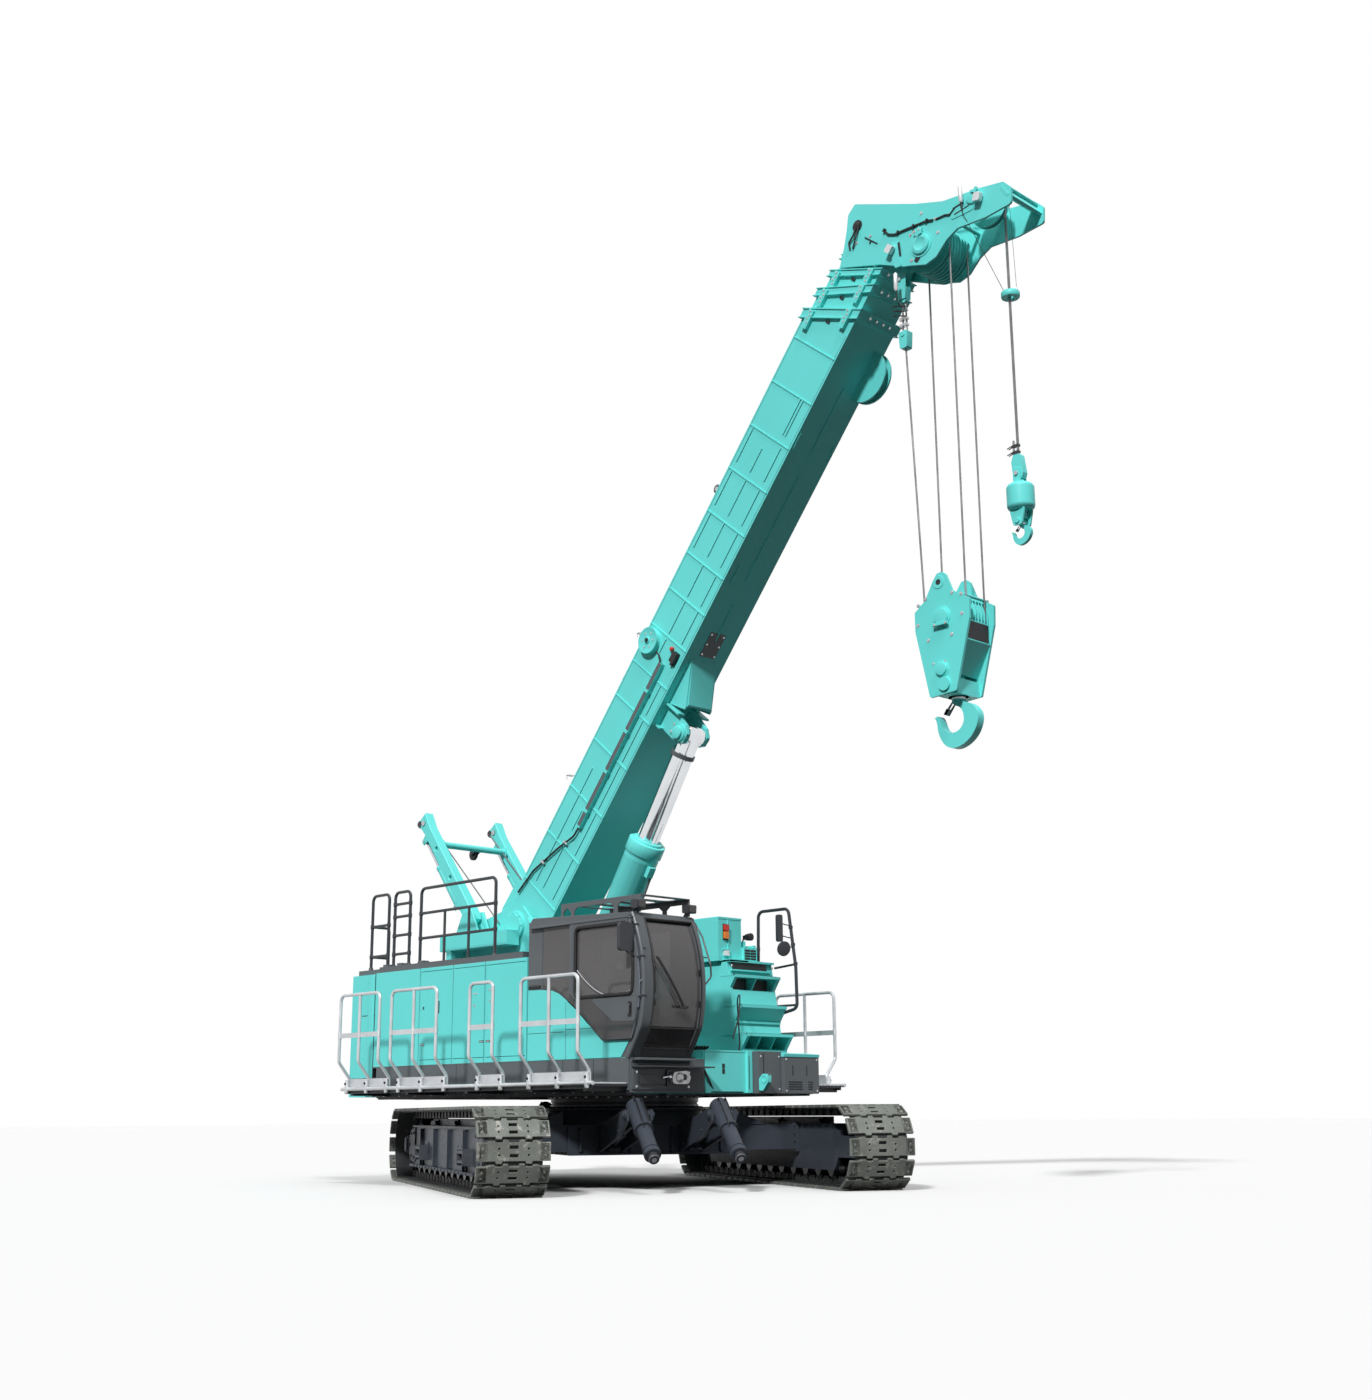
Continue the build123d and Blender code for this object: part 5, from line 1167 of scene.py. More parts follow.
# --- Front boxes ---
# Battery and tool boxes in folded sheet in front of the tower, dark with a teal lid,
# hinges, vent slots and a plate lug for towing.
dress("front_boxes", dark_paint, 0.005)
boxes = Weldment(UPPER, dark_paint)
boxes.coat = teal_paint
boxes.prism(((1.745, 1.5), (1.95, 1.5), (1.955, 1.535), (1.745, 1.555)), (0.815, 1.452))
boxes.prism(eased(((1.895, 1.1), (1.965, 1.1), (2.042, 1.195), (2.042, 1.292), (1.955, 1.295),
                   (1.895, 1.235)), 0.03), (0.424, 0.486))
boxes.turned((1.985, 0.418, 1.24), along_y, ((0, 0.03), (0, 0.052), (0.072, 0.052), (0.072, 0.03)), 24,
             True)
boxes.coat = seam_and_shade_black
for y in (0.97, 1.22):
    boxes.box((1.938, 1.945), (y, y + 0.012), (1.28, 1.4))
for y0, y1 in ((0.9, 1.14), (1.25, 1.33)):
    for k in range(4):
        boxes.box((1.938, 1.946), (y0, y1), (1.115 + 0.028 * k, 1.128 + 0.028 * k))
boxes.box((1.899, 1.904), (0.5, 0.51), (1.12, 1.54))
boxes.coat = bolt_zinc
for y, z in ((0.86, 1.1), (0.86, 1.47), (1.41, 1.1), (1.41, 1.47)):
    boxes.bolt((1.942, y, z), along_x, 0.008)
for y, z in ((0.46, 1.5), (0.78, 1.5), (0.78, 1.12)):
    boxes.bolt((1.9, y, z), along_x, 0.008)
boxes.coat = dark_paint
boxes.box((1.75, 1.94), (1.44, 1.45), (1.08, 1.5))
boxes.fit("box_fittings", "upper", "dark_paint", 0.002)

# --- Catwalks and side rails ---
# Folding walkways along both sides in bar grating, with bent tube rails in galvanised
# steel, flat mid bars, toe boards and clamps on a long base tube.
galvanised = coat_of("galvanised", (0.6, 0.62, 0.64), 0.38, 0.55, 0.1, 0.06, 5, 60)
for side_name, side in (("right", -1), ("left", 1)):
    dress("catwalk_" + side_name, dark_and_underside_shade, 0.002)
    dress("handrails_" + side_name, galvanised, 0)
    walk = Weldment(UPPER, galvanised)
    for k in range(120):
        x = -3.04 + 0.0401 * k
        walk.box((x, x + 0.004), (side * 1.53, side * 2.07), (1.165, 1.185))
    for k in range(6):
        y = side * (1.56 + 0.1 * k)
        walk.box((-3.05, 1.74), about(y, 0.003), (1.17, 1.184))
    # long base tube outside the toe boards, its end caps and a dark edge channel
    walk.tube(((-3.1, side * 2.1, 1.175), (1.8, side * 2.1, 1.175)), 0.024, 0, 12)
    walk.coat = dark_and_underside_shade
    walk.box((-3.06, 1.75), (side * 2.055, side * 2.078), (1.115, 1.165))
    for x in (-2.9, -1.7, -0.5, 0.7, 1.65):
        walk.prism([(side * y, z) for y, z in ((1.52, 1.08), (2.07, 1.135), (2.07, 1.16), (1.52, 1.16))],
                   about(x, 0.006), "x")
    front_frame = (0.7, 1.7, True) if side < 0 else (0.52, 1.53, True)
    for near, far, middle in ((-2.99, -2.11, True), (-1.85, -0.91, True), (-0.255, 0.184, False),
                              front_frame):
        places = (near, (near + far) / 2, far) if middle else (near, far)
        walk.coat = galvanised
        # deeper toe board with its return edge
        walk.box((near - 0.01, far + 0.01), (side * 2.068, side * 2.076), (1.2, 1.305))
        walk.box((near - 0.01, far + 0.01), (side * 2.05, side * 2.076), (1.3, 1.306))
        for x in places:
            walk.coat = galvanised
            walk.turned((x, side * 2.098, 1.12), up,
                        ((0, 0.024), (0.01, 0.03), (0.1, 0.03), (0.13, 0.026), (0.17, 0.026)), 16)
            walk.coat = dark_and_underside_shade
            walk.bolt((x, side * 2.1 + side * 0.028, 1.24), (0, side, 0), 0.01)
            walk.coat = galvanised
            walk.turned((x, side * 2.236, 1.81), up, ((-0.01, 0.024), (0.07, 0.024)), 12)
    walk.fit("walkway_" + side_name, "upper", "galvanised", 0)

# --- Roof rails ---
# Rails of bent tube on the roof's right edge, painted near black, with socketed feet,
# clamps where the rails meet the posts, and returns across the roof at the rear.
dress("roof_handrails", rail_black, 0)
roof_rail_y = -1.3
roofing = Weldment(UPPER, rail_black)
for near, far, foot, heights in ((-3.73, -3.34, 2.68, (2.95, 3.36)),
        (-3.2, -2.85, roof_z, (2.95, 3.2, 3.45, 3.62)), (-2.6, -1, roof_z, (3.12, 3.45))):
    for x in (near, far):
        # foot plate and socket of each post, with its bolts, and clamps where rails meet
        roofing.box(about(x, 0.05), about(roof_rail_y, 0.045), (foot, foot + 0.01))
        roofing.turned((x, roof_rail_y, foot), up, ((0.01, 0.03), (0.12, 0.03), (0.13, 0.024)), 14)
        for z in heights:
            roofing.pin((x, roof_rail_y, z - 0.025), up, 0.027, 0.05, 12)
    for z in heights:
        roofing.tube(((near, roof_rail_y, z), (far, roof_rail_y, z)), 0.0195, 0, 10)
# returns across the roof at the rear end, bent down to their feet
for z in (2.95, 3.36):
    roofing.tube(((-3.73, -1.3, z), (-3.73, -1.02, z), (-3.73, -1.02, roof_z)), 0.018, 0.06, 10)
for x in (-2.07, -1.55):
    roofing.tube(((x, -1.3, roof_z), (x, -1.3, 3.45)), 0.018, 0, 10)
    roofing.box(about(x, 0.04), (-1.345, -1.255), (roof_z, 2.7))
roofing.fit("roof_rail_clamps", "upper", "black_rail", 0)

# --- Winches ---
# Two hydraulic winch drums between the boom foot webs: cast flanges with ribs, and wire
# rope wound in tight turns on each barrel.
wire_rope = coat_of("wire_rope", (0.2, 0.205, 0.21), 0.42, 0.85, 0.25, 0.25, 5, 60)
dress("winches", dark_paint, 0.004)
drums = Weldment(UPPER, wire_rope)
for x, z in ((-2.7, 2.05), (-2.3, 2.75)):
    turns = 26
    lay = 0.025
    drums.coat = wire_rope
    coil = []
    for k in range(turns):
        start = -0.325 + lay * k
        for step in (0.04, 0.27, 0.5, 0.73, 0.96):
            coil.append((start + lay * step, 0.245 + 0.0115 * sin(pi * step)))
    drums.turned((x, 0, z), along_y, coil, 40)
    drums.coat = bolt_zinc
    for side in (-1, 1):
        drums.bolts((x, side * 0.36, z), (0, side, 0), 0.215, 8, 0.014)
        drums.turned((x, side * 0.36, z), (0, side, 0), ((0, 0.17), (0.012, 0.165), (0.02, 0.13)), 32)
drums.fit("rope_drums", "upper", "wire_rope", 0)

# --- Masts ---
# The counterweight masts: two welded arms on pins, joined by a tube, each with a slim
# cylinder on its back, a roller at its tip and thin guy ropes down to the boom's foot.
dress("mast_base", teal_paint, 0.006)
mast_angle = radians(128)
mast_foot = (-2.35, 3.42)
mast_y, ram_h, tie_reach = 0.62, 0.16, 1.4
MAST = raised(mast_foot, mast_angle)
mast = Weldment(MAST, teal_paint)
arm_outline = ((-0.07, -0.06), (0, -0.09), (1.65, -0.07), (1.9, -0.11), (1.9, 0.11), (1.65, 0.08),
               (0, 0.11), (-0.07, 0.06))
arm_holes = [circle(0, 0, 0.0403, 24), circle(1.8, 0, 0.035, 20), circle(1.3, 0, 0.03, 16),
             circle(0.75, 0, 0.03, 16)]
arm_plate = flame_cut(arm_outline, arm_holes, 0.14, 0.008)
for side in (-1, 1):
    y = side * mast_y
    mast.coat = teal_paint
    # the arm as a closed box: a flame-cut plate with its holes, and a rib along its back
    mast.add(*arm_plate, Matrix.Translation((0, y, 0)) @ Matrix.Rotation(radians(90), 4, "X"))
    for reach in (0.35, 1.6):
        for cheek in (-1, 1):
            mast.prism(taper(reach, (0.06, 0.06), (0.2, 0.035)), about(y + cheek * 0.045, 0.008))
    # cylinder: barrel, gland, bright rod and both eyes
    mast.turned((0.35, y, ram_h), along_x,
                ((0.05, 0.03), (0.07, 0.042), (0.7, 0.042), (0.7, 0.047), (0.75, 0.047), (0.76, 0.035)), 20)
    mast.pin((0.35, y - 0.036, ram_h), along_y, 0.038, 0.072, 20)
    mast.pin((1.6, y - 0.036, ram_h), along_y, 0.034, 0.072, 20)
    mast.coat = bright_tube
    mast.pin((1.08, y, ram_h), along_x, 0.023, 0.5)
    mast.coat = bolt_zinc
    for reach, radius in ((0.35, 0.018), (1.6, 0.016)):
        mast.pin((reach, y - 0.065, ram_h), along_y, radius, 0.13, 12)
    # roller and its pin at the arm's tip
    mast.pin((1.8, y - 0.085, 0), along_y, 0.036, 0.17)
    mast.coat = rail_black
    mast.turned((1.86, y - 0.075, 0.08), along_y,
                ((0, 0.045), (0.02, 0.058), (0.13, 0.058), (0.15, 0.045)), 24)
    mast.tube(((0.45, y + 0.03, 0.215), (0.8, y + 0.035, 0.225), (1.25, y + 0.03, 0.12),
               (1.55, y + 0.06, 0.09)), 0.008, 0.05, 8)
mast.coat = teal_paint
mast.pin((tie_reach, -mast_y, 0), along_y, 0.045, 2 * mast_y, 24)
for y in (-0.55, 0.55):
    mast.pin((tie_reach, y - 0.006, 0), along_y, 0.075, 0.012, 24)
# black pulley in a fork on the cross tube
mast.coat = rail_black
mast.turned((tie_reach, 0.05, 0.11), along_y,
            ((0, 0.07), (0.01, 0.085), (0.018, 0.06), (0.032, 0.06), (0.04, 0.085), (0.05, 0.07)), 28)
for y in (0.03, 0.115):
    mast.prism(((1.36, 0.03), (1.44, 0.03), (1.42, 0.14), (1.38, 0.14)), about(y, 0.006))
mast.fit("masts", "mast", "teal_paint", 0, ("mast_arms",))
# guy ropes from the mast tops down to the boom's foot, one end on each part
for side_name, side in (("right", -1), ("left", 1)):
    guy = Weldment(Matrix(), wire_rope)
    top = MAST @ Vector((1.78, side * (mast_y - 0.11), 0.05))
    low = Vector((slew_x - 1.95, side * 0.5, 3.33))
    guy.tube((tuple(top), tuple(low)), 0.009, 0, 8)
    made = guy.fit("guy_rope_" + side_name, None, "wire_rope", 0)
    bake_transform(made)

# --- Boom base ---
# The outer boom box, welded from folded high-strength plate: ribs round it, flat bars on
# its seams, a hose channel, a cable reel, guide rollers, hatches and the stowing lug.
boom_foot = (-1.628, 3.268)
boom_angle = radians(50.39)
BOOM = raised(boom_foot, boom_angle)
boom_teal = coat_of("boom_teal", teal, 0.4, 0, 0.045, 0.01, 0.5, 220, None, 0, 0.22)
half_wide, half_high = 0.3435, 0.422
dress("boom_base", boom_teal, 0.004)
bar_wide = 0.022
side_bars = (
    (0.335, ((7.2, 6.74), (6.605, 6.14), (6.025, 5.54))),
    (0.03, ((7.05, 6.73), (6.61, 6.13), (6.025, 5.555), (5.44, 4.99), (4.93, 4.46), (4.375, 4.18))),
    (-0.265, ((7.18, 6.73), (6.61, 6.13), (6.01, 5.55), (5.42, 5), (4.92, 4.46), (3.86, 3.43), (3.34, 2.73),
              (2.67, 2.02), (1.95, 1.31), (1.255, 0.62))),
    (-0.19, ((7.81, 7.33),)), (-0.24, ((7.81, 7.33),)),
    (0.18, ((2.37, 0.62),)), (0, ((1.83, 1.53), (1.24, 0.63))),
)
base = Weldment(BOOM, boom_teal)
for side in (-1, 1):
    y = side * half_wide
    for h, runs in side_bars:
        for far, near in runs:
            base.coat = boom_teal
            base.box((near, far), (y, y + side * 0.009), about(h, bar_wide / 2))
            # a thin black strip just under each bar: its painted shadow
            base.coat = seam_and_shade_black
            base.box((near, far), (y, y + side * 0.0015), (h - bar_wide / 2 - 0.006, h - bar_wide / 2))
    # edge seams along the box's folded corners
    base.coat = seam_and_shade_black
    for h in (0.395, -0.395):
        base.box((0.5, 8.7), (y, y + side * 0.0012), about(h, 0.0025))
# hose channel, its hose and clamps on the right side
base.coat = dark_paint
y = -half_wide
base.box((1.68, 4.1), (y - 0.064, y - 0.001), (-0.165, -0.105))
for a in (1.9, 2.5, 3.1, 3.7):
    base.coat = boom_teal
    base.box(about(a, 0.02), (y - 0.072, y), (-0.178, -0.092))
base.coat = hose_rubber
base.tube(((1.7, y - 0.035, -0.135), (1.5, y - 0.035, -0.12), (1.2, y - 0.03, 0.05),
           (0.7, y - 0.028, 0.28), (0.3, y - 0.028, 0.36)), 0.014, 0.15, 10)
base.tube(((4.08, y - 0.035, -0.12), (4.16, y - 0.045, -0.05), (4.18, y - 0.055, 0.02)), 0.012, 0.05, 8)
for a, h in ((1.35, -0.035), (0.9, 0.19)):
    base.coat = bolt_zinc
    base.box(about(a, 0.015), (y - 0.045, y), about(h, 0.04))
# cable reel: rimmed disc with a hub, bolts, a red lamp and the black terminal box below
base.coat = boom_teal
reel = (4.225, 0.246)
base.turned((reel[0], y, reel[1]), (0, -1, 0),
            ((0.03, 0.15), (0.068, 0.15), (0.068, 0.172), (0.0795, 0.172), (0.0795, 0.158),
             (0.0765, 0.15), (0.0765, 0.045), (0.088, 0.04), (0.09, 0.02)), 40)
base.coat = bolt_zinc
base.bolts((reel[0], y - 0.0765, reel[1]), (0, -1, 0), 0.1, 6, 0.008)
base.coat = hose_rubber
base.turned((reel[0], y - 0.0885, reel[1]), (0, -1, 0), ((0, 0.026), (0.016, 0.026), (0.018, 0.018)), 20)
base.box((4.2, 4.34), (y - 0.06, y), (-0.335, -0.245))
base.box((4.16, 4.2), (y - 0.04, y), (-0.31, -0.27))
base.coat = red_lens
base.turned((4.33, y, -0.167), (0, -1, 0), ((0, 0.028), (0.035, 0.028), (0.045, 0.018)), 16)
# wire guides over the top edge and the two guide pulleys
base.coat = bolt_zinc
for a, h in ((4.157, 0.62), (2, 0.62)):
    base.tube(((a - 0.11, -0.3, half_high), (a, -0.3, h), (a + 0.11, -0.3, half_high)), 0.008, 0.02, 8)
    base.tube(((a, -0.3, h - 0.01), (a, -0.2, h - 0.01)), 0.008, 0, 8)
for a, h in ((3.551, 0.424), (6.298, 0.484)):
    base.coat = dark_paint
    base.turned((a, -0.27, h + 0.03), along_y,
                ((0, 0.05), (0.006, 0.06), (0.02, 0.04), (0.034, 0.06), (0.04, 0.05)), 24)
    base.coat = bolt_zinc
    for z in (-0.278, -0.222):
        base.prism(taper(a, (half_high, 0.04), (h + 0.05, 0.02)), about(z, 0.003))
# underside: stiffening bars, a dark hatch with its bolts and the cylinder's hose ports
base.coat = boom_teal
for near, far, across in ((7.23, 8.15, 0), (5.5, 6.96, 0), (4.66, 5.18, 0), (5.42, 5.69, -0.22),
                          (7.25, 7.46, -0.3), (7.25, 7.46, 0.3)):
    base.box((near, far), about(across, 0.012), (-half_high - 0.011, -half_high))
base.coat = dark_paint
base.box((4.42, 4.76), (-0.13, 0.13), (-half_high - 0.006, -half_high))
base.coat = bolt_zinc
for a in (4.45, 4.59, 4.73):
    for z in (-0.105, 0.105):
        base.bolt((a, z, -half_high - 0.006), (0, 0, -1), 0.008)
# bolted plate covers on the top face, for the hose reels inside
for a in (1.2, 2.6, 5, 7.4):
    base.coat = boom_teal
    base.box(about(a, 0.2), (-0.16, 0.16), (half_high, half_high + 0.006))
    base.coat = bolt_zinc
    for reach in (-0.17, 0.17):
        for z in (-0.13, 0.13):
            base.bolt((a + reach, z, half_high + 0.006), up, 0.007)
base.fit("boom_fittings", "boom", "teal_paint", 0.0015)

# --- Boom collars ---
# Reinforced open ends of the boom sections: doubled collar plates, wear pads held by rows
# of bolts at both edges, shim plates and the dark gap where the next section slides out.
for name in ("boom_section_2", "boom_section_3", "boom_section_4"):
    dress(name, boom_teal, 0.004)
collars = (("boom", 0.844, 0.687, 8.75, 9.07, 0.13), ("tele_2", 0.784, 0.627, 9.032, 9.386, 0.11),
           ("tele_3", 0.724, 0.567, 9.289, 9.587, 0.09), ("tele_4", 0.664, 0.507, 9.512, 9.792, 0.07))
for body, high, wide, top_end, low_end, long in collars:
    ring = Weldment(BOOM, boom_teal)
    slope = (low_end - top_end) / high
    rise = 0.04
    for side in (-1, 1):
        y = side * (wide / 2 + rise)
        for level, count in ((0.34 * high, 4), (-0.34 * high, 4)):
            # a tab with a column of bolts that holds the wear pad behind it
            end = top_end + slope * (high / 2 - level)
            ring.coat = boom_teal
            ring.box((end - long - 0.13, end - 0.02), (y - side * rise, y + side * 0.01),
                     (level - 0.045, level + 0.045))
            ring.coat = bolt_zinc
            for k in range(count):
                ring.bolt((end - 0.045 - 0.045 * k, y + side * 0.01, level + 0.012 * (-1) ** k),
                          (0, side, 0), 0.009)
        ring.coat = seam_and_shade_black
        middle = top_end + slope * high / 2
        ring.box((middle - long - 0.05, middle - long - 0.02),
                 (y - side * (rise - 0.001), y - side * (rise - 0.012)), (-0.05, 0.02))
    ring.coat = bolt_zinc
    for y in (-0.18, -0.06, 0.06, 0.18):
        ring.bolt((top_end - long / 2, y, high / 2 + rise), up, 0.01)
        ring.bolt((low_end - long / 2, y, -high / 2 - rise), (0, 0, -1), 0.01)
    ring.fit("collar_bolts_" + body, body, "teal_paint", 0.001)

# --- Hoist rope over the boom ---
# Wire rope from the auxiliary winch over the boom's back to the sheave at the tip. Each
# length runs beside one pair of sections.
rope_r = 0.011
rope_h = 0.5
rope_y, head_wrap = 0.165, 0.265 + rope_r
head_pin, tip_pin = (10.005, -0.8), (10.695, -1.187)
tip_radius = 0.183 + rope_r
saddle = (10.06, 0.475)
rope_lines = (0, 0.16)


def around(pin, radius, turn):
    """A point of the boom's side view on a circle round a pin, at an angle in degrees."""
    return pin[0] + radius * cos(radians(turn)), pin[1] + radius * sin(radians(turn))


wrap = [around(tip_pin, tip_radius, 25.3 - 7.57 * k) for k in range(11)]
stretches = (("hoist_rope_1", "boom", "tele_2", (0.62, 9.16), (8.7, 9.1)),
             ("hoist_rope_2", "tele_2", "tele_3", (9.16, 9.44), (9.17, 9.43)),
             ("hoist_rope_3", "tele_3", "tele_4", (9.44, 9.8), (9.45, 9.79)))
for name, inner, outer, (near, far), (start, end) in stretches:
    run = Weldment(BOOM, wire_rope)
    for y in rope_lines:
        run.tube([(near + (far - near) * k / 12, y, rope_h) for k in range(13)], rope_r, 0, 10)
    piece = run.fit(name, None, "wire_rope", 0)
    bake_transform(piece)
# from the winches to the guide rollers at the foot, on the boom's own side of its pin
lead = Weldment(BOOM, wire_rope)
for y in rope_lines:
    lead.tube(((0.02, y, 0.6), (0.3, y, 0.555), (0.62, y, rope_h)), rope_r, 0, 10)
lead.fit("hoist_rope_lead", "boom", "wire_rope", 0)
feed = Weldment(UPPER, wire_rope)
for y, (x, z) in ((0, (-2.3, 2.75)), (0.16, (-2.7, 2.05))):
    top = BOOM @ Vector((0.02, y, 0.6))
    feed.tube(((x - 0.1, y, z + 0.235), (top.x - slew_x, y, top.z)), rope_r, 0, 10)
feed_piece = feed.fit("hoist_rope_feed", None, "wire_rope", 0)
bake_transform(feed_piece)
guide = Weldment(BOOM, dark_paint)
for a in (0.62, 8.6):
    guide.turned((a, -0.06, rope_h - 0.055), along_y,
                 ((0, 0.06), (0.01, 0.06), (0.02, 0.042), (0.26, 0.042), (0.27, 0.06), (0.28, 0.06)), 24)
    guide.coat = boom_teal
    for y in (-0.08, 0.24):
        guide.prism(taper(a, (half_high, 0.06), (rope_h - 0.01, 0.03)), about(y, 0.006))
    guide.coat = dark_paint
guide.fit("rope_guides", "boom", "dark_paint", 0.001)

# --- Boom head ---
# Two flame-cut cheek plates with the sheave pins between them, their keepers and bolts, a
# cable in clamps, sensor boxes and the tip's short arm for the auxiliary line.
dress("boom_head", boom_teal, 0.004)
dress("main_sheaves", boom_teal, 0.003)
dress("aux_sheave", boom_teal, 0.003)
switch_white = coat_of("switch_white", (0.72, 0.74, 0.76), 0.3, 0.3, 0.08, 0.03, 3, 90)
cheek_y = 0.3235
head = Weldment(BOOM, boom_teal)
for side in (-1, 1):
    y, out = side * cheek_y, (0, side, 0)
    head.coat = boom_teal
    # bosses, doubler rings and keeper plates of both pins
    head.turned((head_pin[0], y, head_pin[1]), out,
                ((0, 0.15), (0.008, 0.15), (0.008, 0.12), (0.03, 0.115), (0.036, 0.08), (0.03, 0.07)), 40)
    head.turned((tip_pin[0], y, tip_pin[1]), out,
                ((0, 0.1), (0.006, 0.1), (0.006, 0.08), (0.026, 0.075), (0.03, 0.05)), 32)
    head.box((10.06, 10.17), (y + side * 0.026, y + side * 0.042), (-0.73, -0.66))
    head.box((10.745, 10.815), (y + side * 0.022, y + side * 0.034), (-1.21, -1.165))
    # arm doubler plate with its capsule window, in dark relief
    head.prism(eased(((10.38, -1.05), (10.46, -0.98), (10.66, -1.16), (10.6, -1.3)), 0.04, 4),
               (y, y + side * 0.008))
    head.coat = seam_and_shade_black
    head.prism(eased(rectangle((9.8, 9.955), (-0.885, -0.815)), 0.034, 5), (y, y + side * 0.003))
    for (a, h), (b, g) in (((10.44, -1.065), (10.6, -1.205)), ((10.49, -1), (10.6, -1.095))):
        head.prism(((a, h), (a + 0.012, h + 0.012), (b + 0.012, g + 0.012), (b, g)), (y, y + side * 0.0105))
    head.coat = bolt_zinc
    for a, h in ((10.313, -0.569), (10.323, -0.814), (10.043, -0.572), (10.05, -0.681), (9.84, 0.02),
                 (9.7, 0.18), (10.2, -0.95), (9.8, -0.78)):
        head.bolt((a, y, h), out, 0.013)
    for a, h in ((10.09, -0.645), (10.14, -0.7)):
        head.bolt((a, y + side * 0.042, h), out, 0.013)
# wiring on the right cheek: port, cable in clamps, and the dark T bracket
y = -cheek_y
head.coat = seam_and_shade_black
head.turned((9.882, y, 0.298), (0, -1, 0), ((0, 0.07), (0.012, 0.07), (0.014, 0.055)), 28)
head.coat = hose_rubber
head.turned((9.882, y - 0.012, 0.298), (0, -1, 0), ((0, 0.05), (0.02, 0.045), (0.03, 0.02)), 20)
head.tube(((9.87, y - 0.02, 0.29), (9.76, y - 0.03, 0.26), (9.66, y - 0.02, 0.28),
           (9.6, y - 0.012, 0.22)), 0.012, 0.04, 8)
head.tube(((9.89, y - 0.02, 0.26), (9.75, y - 0.035, 0.2), (9.62, y - 0.014, 0.18)), 0.01, 0.04, 8)
head.box((9.795, 9.807), (y - 0.012, y), (-0.15, 0.09))
head.box((9.76, 9.8), (y - 0.01, y), (-0.04, -0.02))
head.tube(((9.966, y - 0.012, -0.16), (9.945, y - 0.014, -0.25), (9.975, y - 0.014, -0.345),
           (10.06, y - 0.014, -0.45), (10.15, y - 0.014, -0.568), (10.262, y - 0.014, -0.716),
           (10.3, y - 0.014, -0.8)), 0.0125, 0.06, 8)
for a, h in ((9.966, -0.165), (10.012, -0.385), (10.148, -0.565), (10.264, -0.718)):
    head.box(about(a, 0.022), (y - 0.032, y), about(h, 0.014))
head.coat = seam_and_shade_black
head.tube(((10.32, y - 0.01, -0.83), (10.4, y - 0.012, -0.93), (10.43, y - 0.012, -1),
           (10.52, y - 0.012, -1.02)), 0.01, 0.03, 8)
# the strap over the main pin and the bracket of the dead end with its two pins
head.coat = boom_teal
head.prism(((10.13, -0.66), (10.17, -0.69), (10.12, -0.76), (10.08, -0.73)), (y - 0.05, y - 0.03))
head.prism(eased(((9.93, -0.44), (9.78, -0.6), (9.7, -0.68), (9.64, -0.6), (9.76, -0.43), (9.88, -0.36)),
                 0.03), (y - 0.01, y + 0.001))
head.coat = seam_and_shade_black
head.prism(((9.905, -0.45), (9.93, -0.47), (9.8, -0.6), (9.775, -0.585)), (y - 0.0125, y - 0.009))
head.coat = boom_teal
head.prism(eased(((9.86, -0.6), (9.76, -0.72), (9.66, -0.7), (9.7, -0.56), (9.8, -0.5)), 0.03),
           (-0.19, -0.14))
# limit switch boxes: the main one by the dead end, the auxiliary one under the arm
head.coat = switch_white
head.prism(eased(rectangle((9.75, 9.85), (-0.47, -0.38)), 0.015), (y - 0.085, y - 0.025))
head.prism(eased(((10.69, -1.36), (10.78, -1.32), (10.74, -1.24), (10.65, -1.28)), 0.015),
           (y - 0.085, y - 0.025))
head.coat = boom_teal
head.box((9.77, 9.83), (y - 0.03, y), (-0.46, -0.39))
head.prism(((10.74, -1.31), (10.78, -1.29), (10.76, -1.12), (10.72, -1.14)), (y - 0.03, y))
# front arm cross plate, the tip's stop and the spreader tubes between the cheeks
head.box((10.85, 10.875), (-0.29, 0.29), (-1.64, -1.5))
head.prism(((10.9, -1.5), (10.942, -1.478), (10.885, -1.66), (10.85, -1.64)), (y - 0.004, -y + 0.004))
head.fit("head_fittings", "tele_4", "teal_paint", 0.0015)
# rope over the saddle to the tip sheave and round it, and round the main sheaves
over = Weldment(BOOM, wire_rope)
over.tube([(9.8, 0, rope_h), (saddle[0], 0, saddle[1])] + [(a, 0, h) for a, h in wrap], rope_r, 0, 10)
lead_on = [around(head_pin, head_wrap, turn) for turn in range(10, -51, -10)]
over.tube([(9.8, 0.16, rope_h), (10, 0.16, rope_h - 0.02), (10.26, rope_y, -0.7)]
          + [(a, rope_y, h) for a, h in lead_on], rope_r, 0, 10)
arc = [around(head_pin, head_wrap, turn) for turn in range(-50, 131, 10)]
for y in (-rope_y, rope_y):
    over.tube([(a, y, h) for a, h in arc], rope_r, 0, 10)
over.fit("head_ropes", "tele_4", "wire_rope", 0)

# --- Luffing cylinder ---
# One large hydraulic cylinder: painted barrel with a welded port block, pipes along it, a
# bolted gland ring and a hard-chromed rod that carries a dark clamp band near its eye.
chrome = coat_of("chrome_rod", (0.72, 0.74, 0.76), 0.1, 1, 0.05, 0.03, 3, 60)
dress("luff_barrel", boom_teal, 0.004)
dress("luff_rod", chrome, 0.002)


def on_upper(reach, rise):
    """Where a point of the boom's side view is on the upper, as (x, z)."""
    return (boom_foot[0] + reach * cos(boom_angle) - rise * sin(boom_angle),
            boom_foot[1] + reach * sin(boom_angle) + rise * cos(boom_angle))


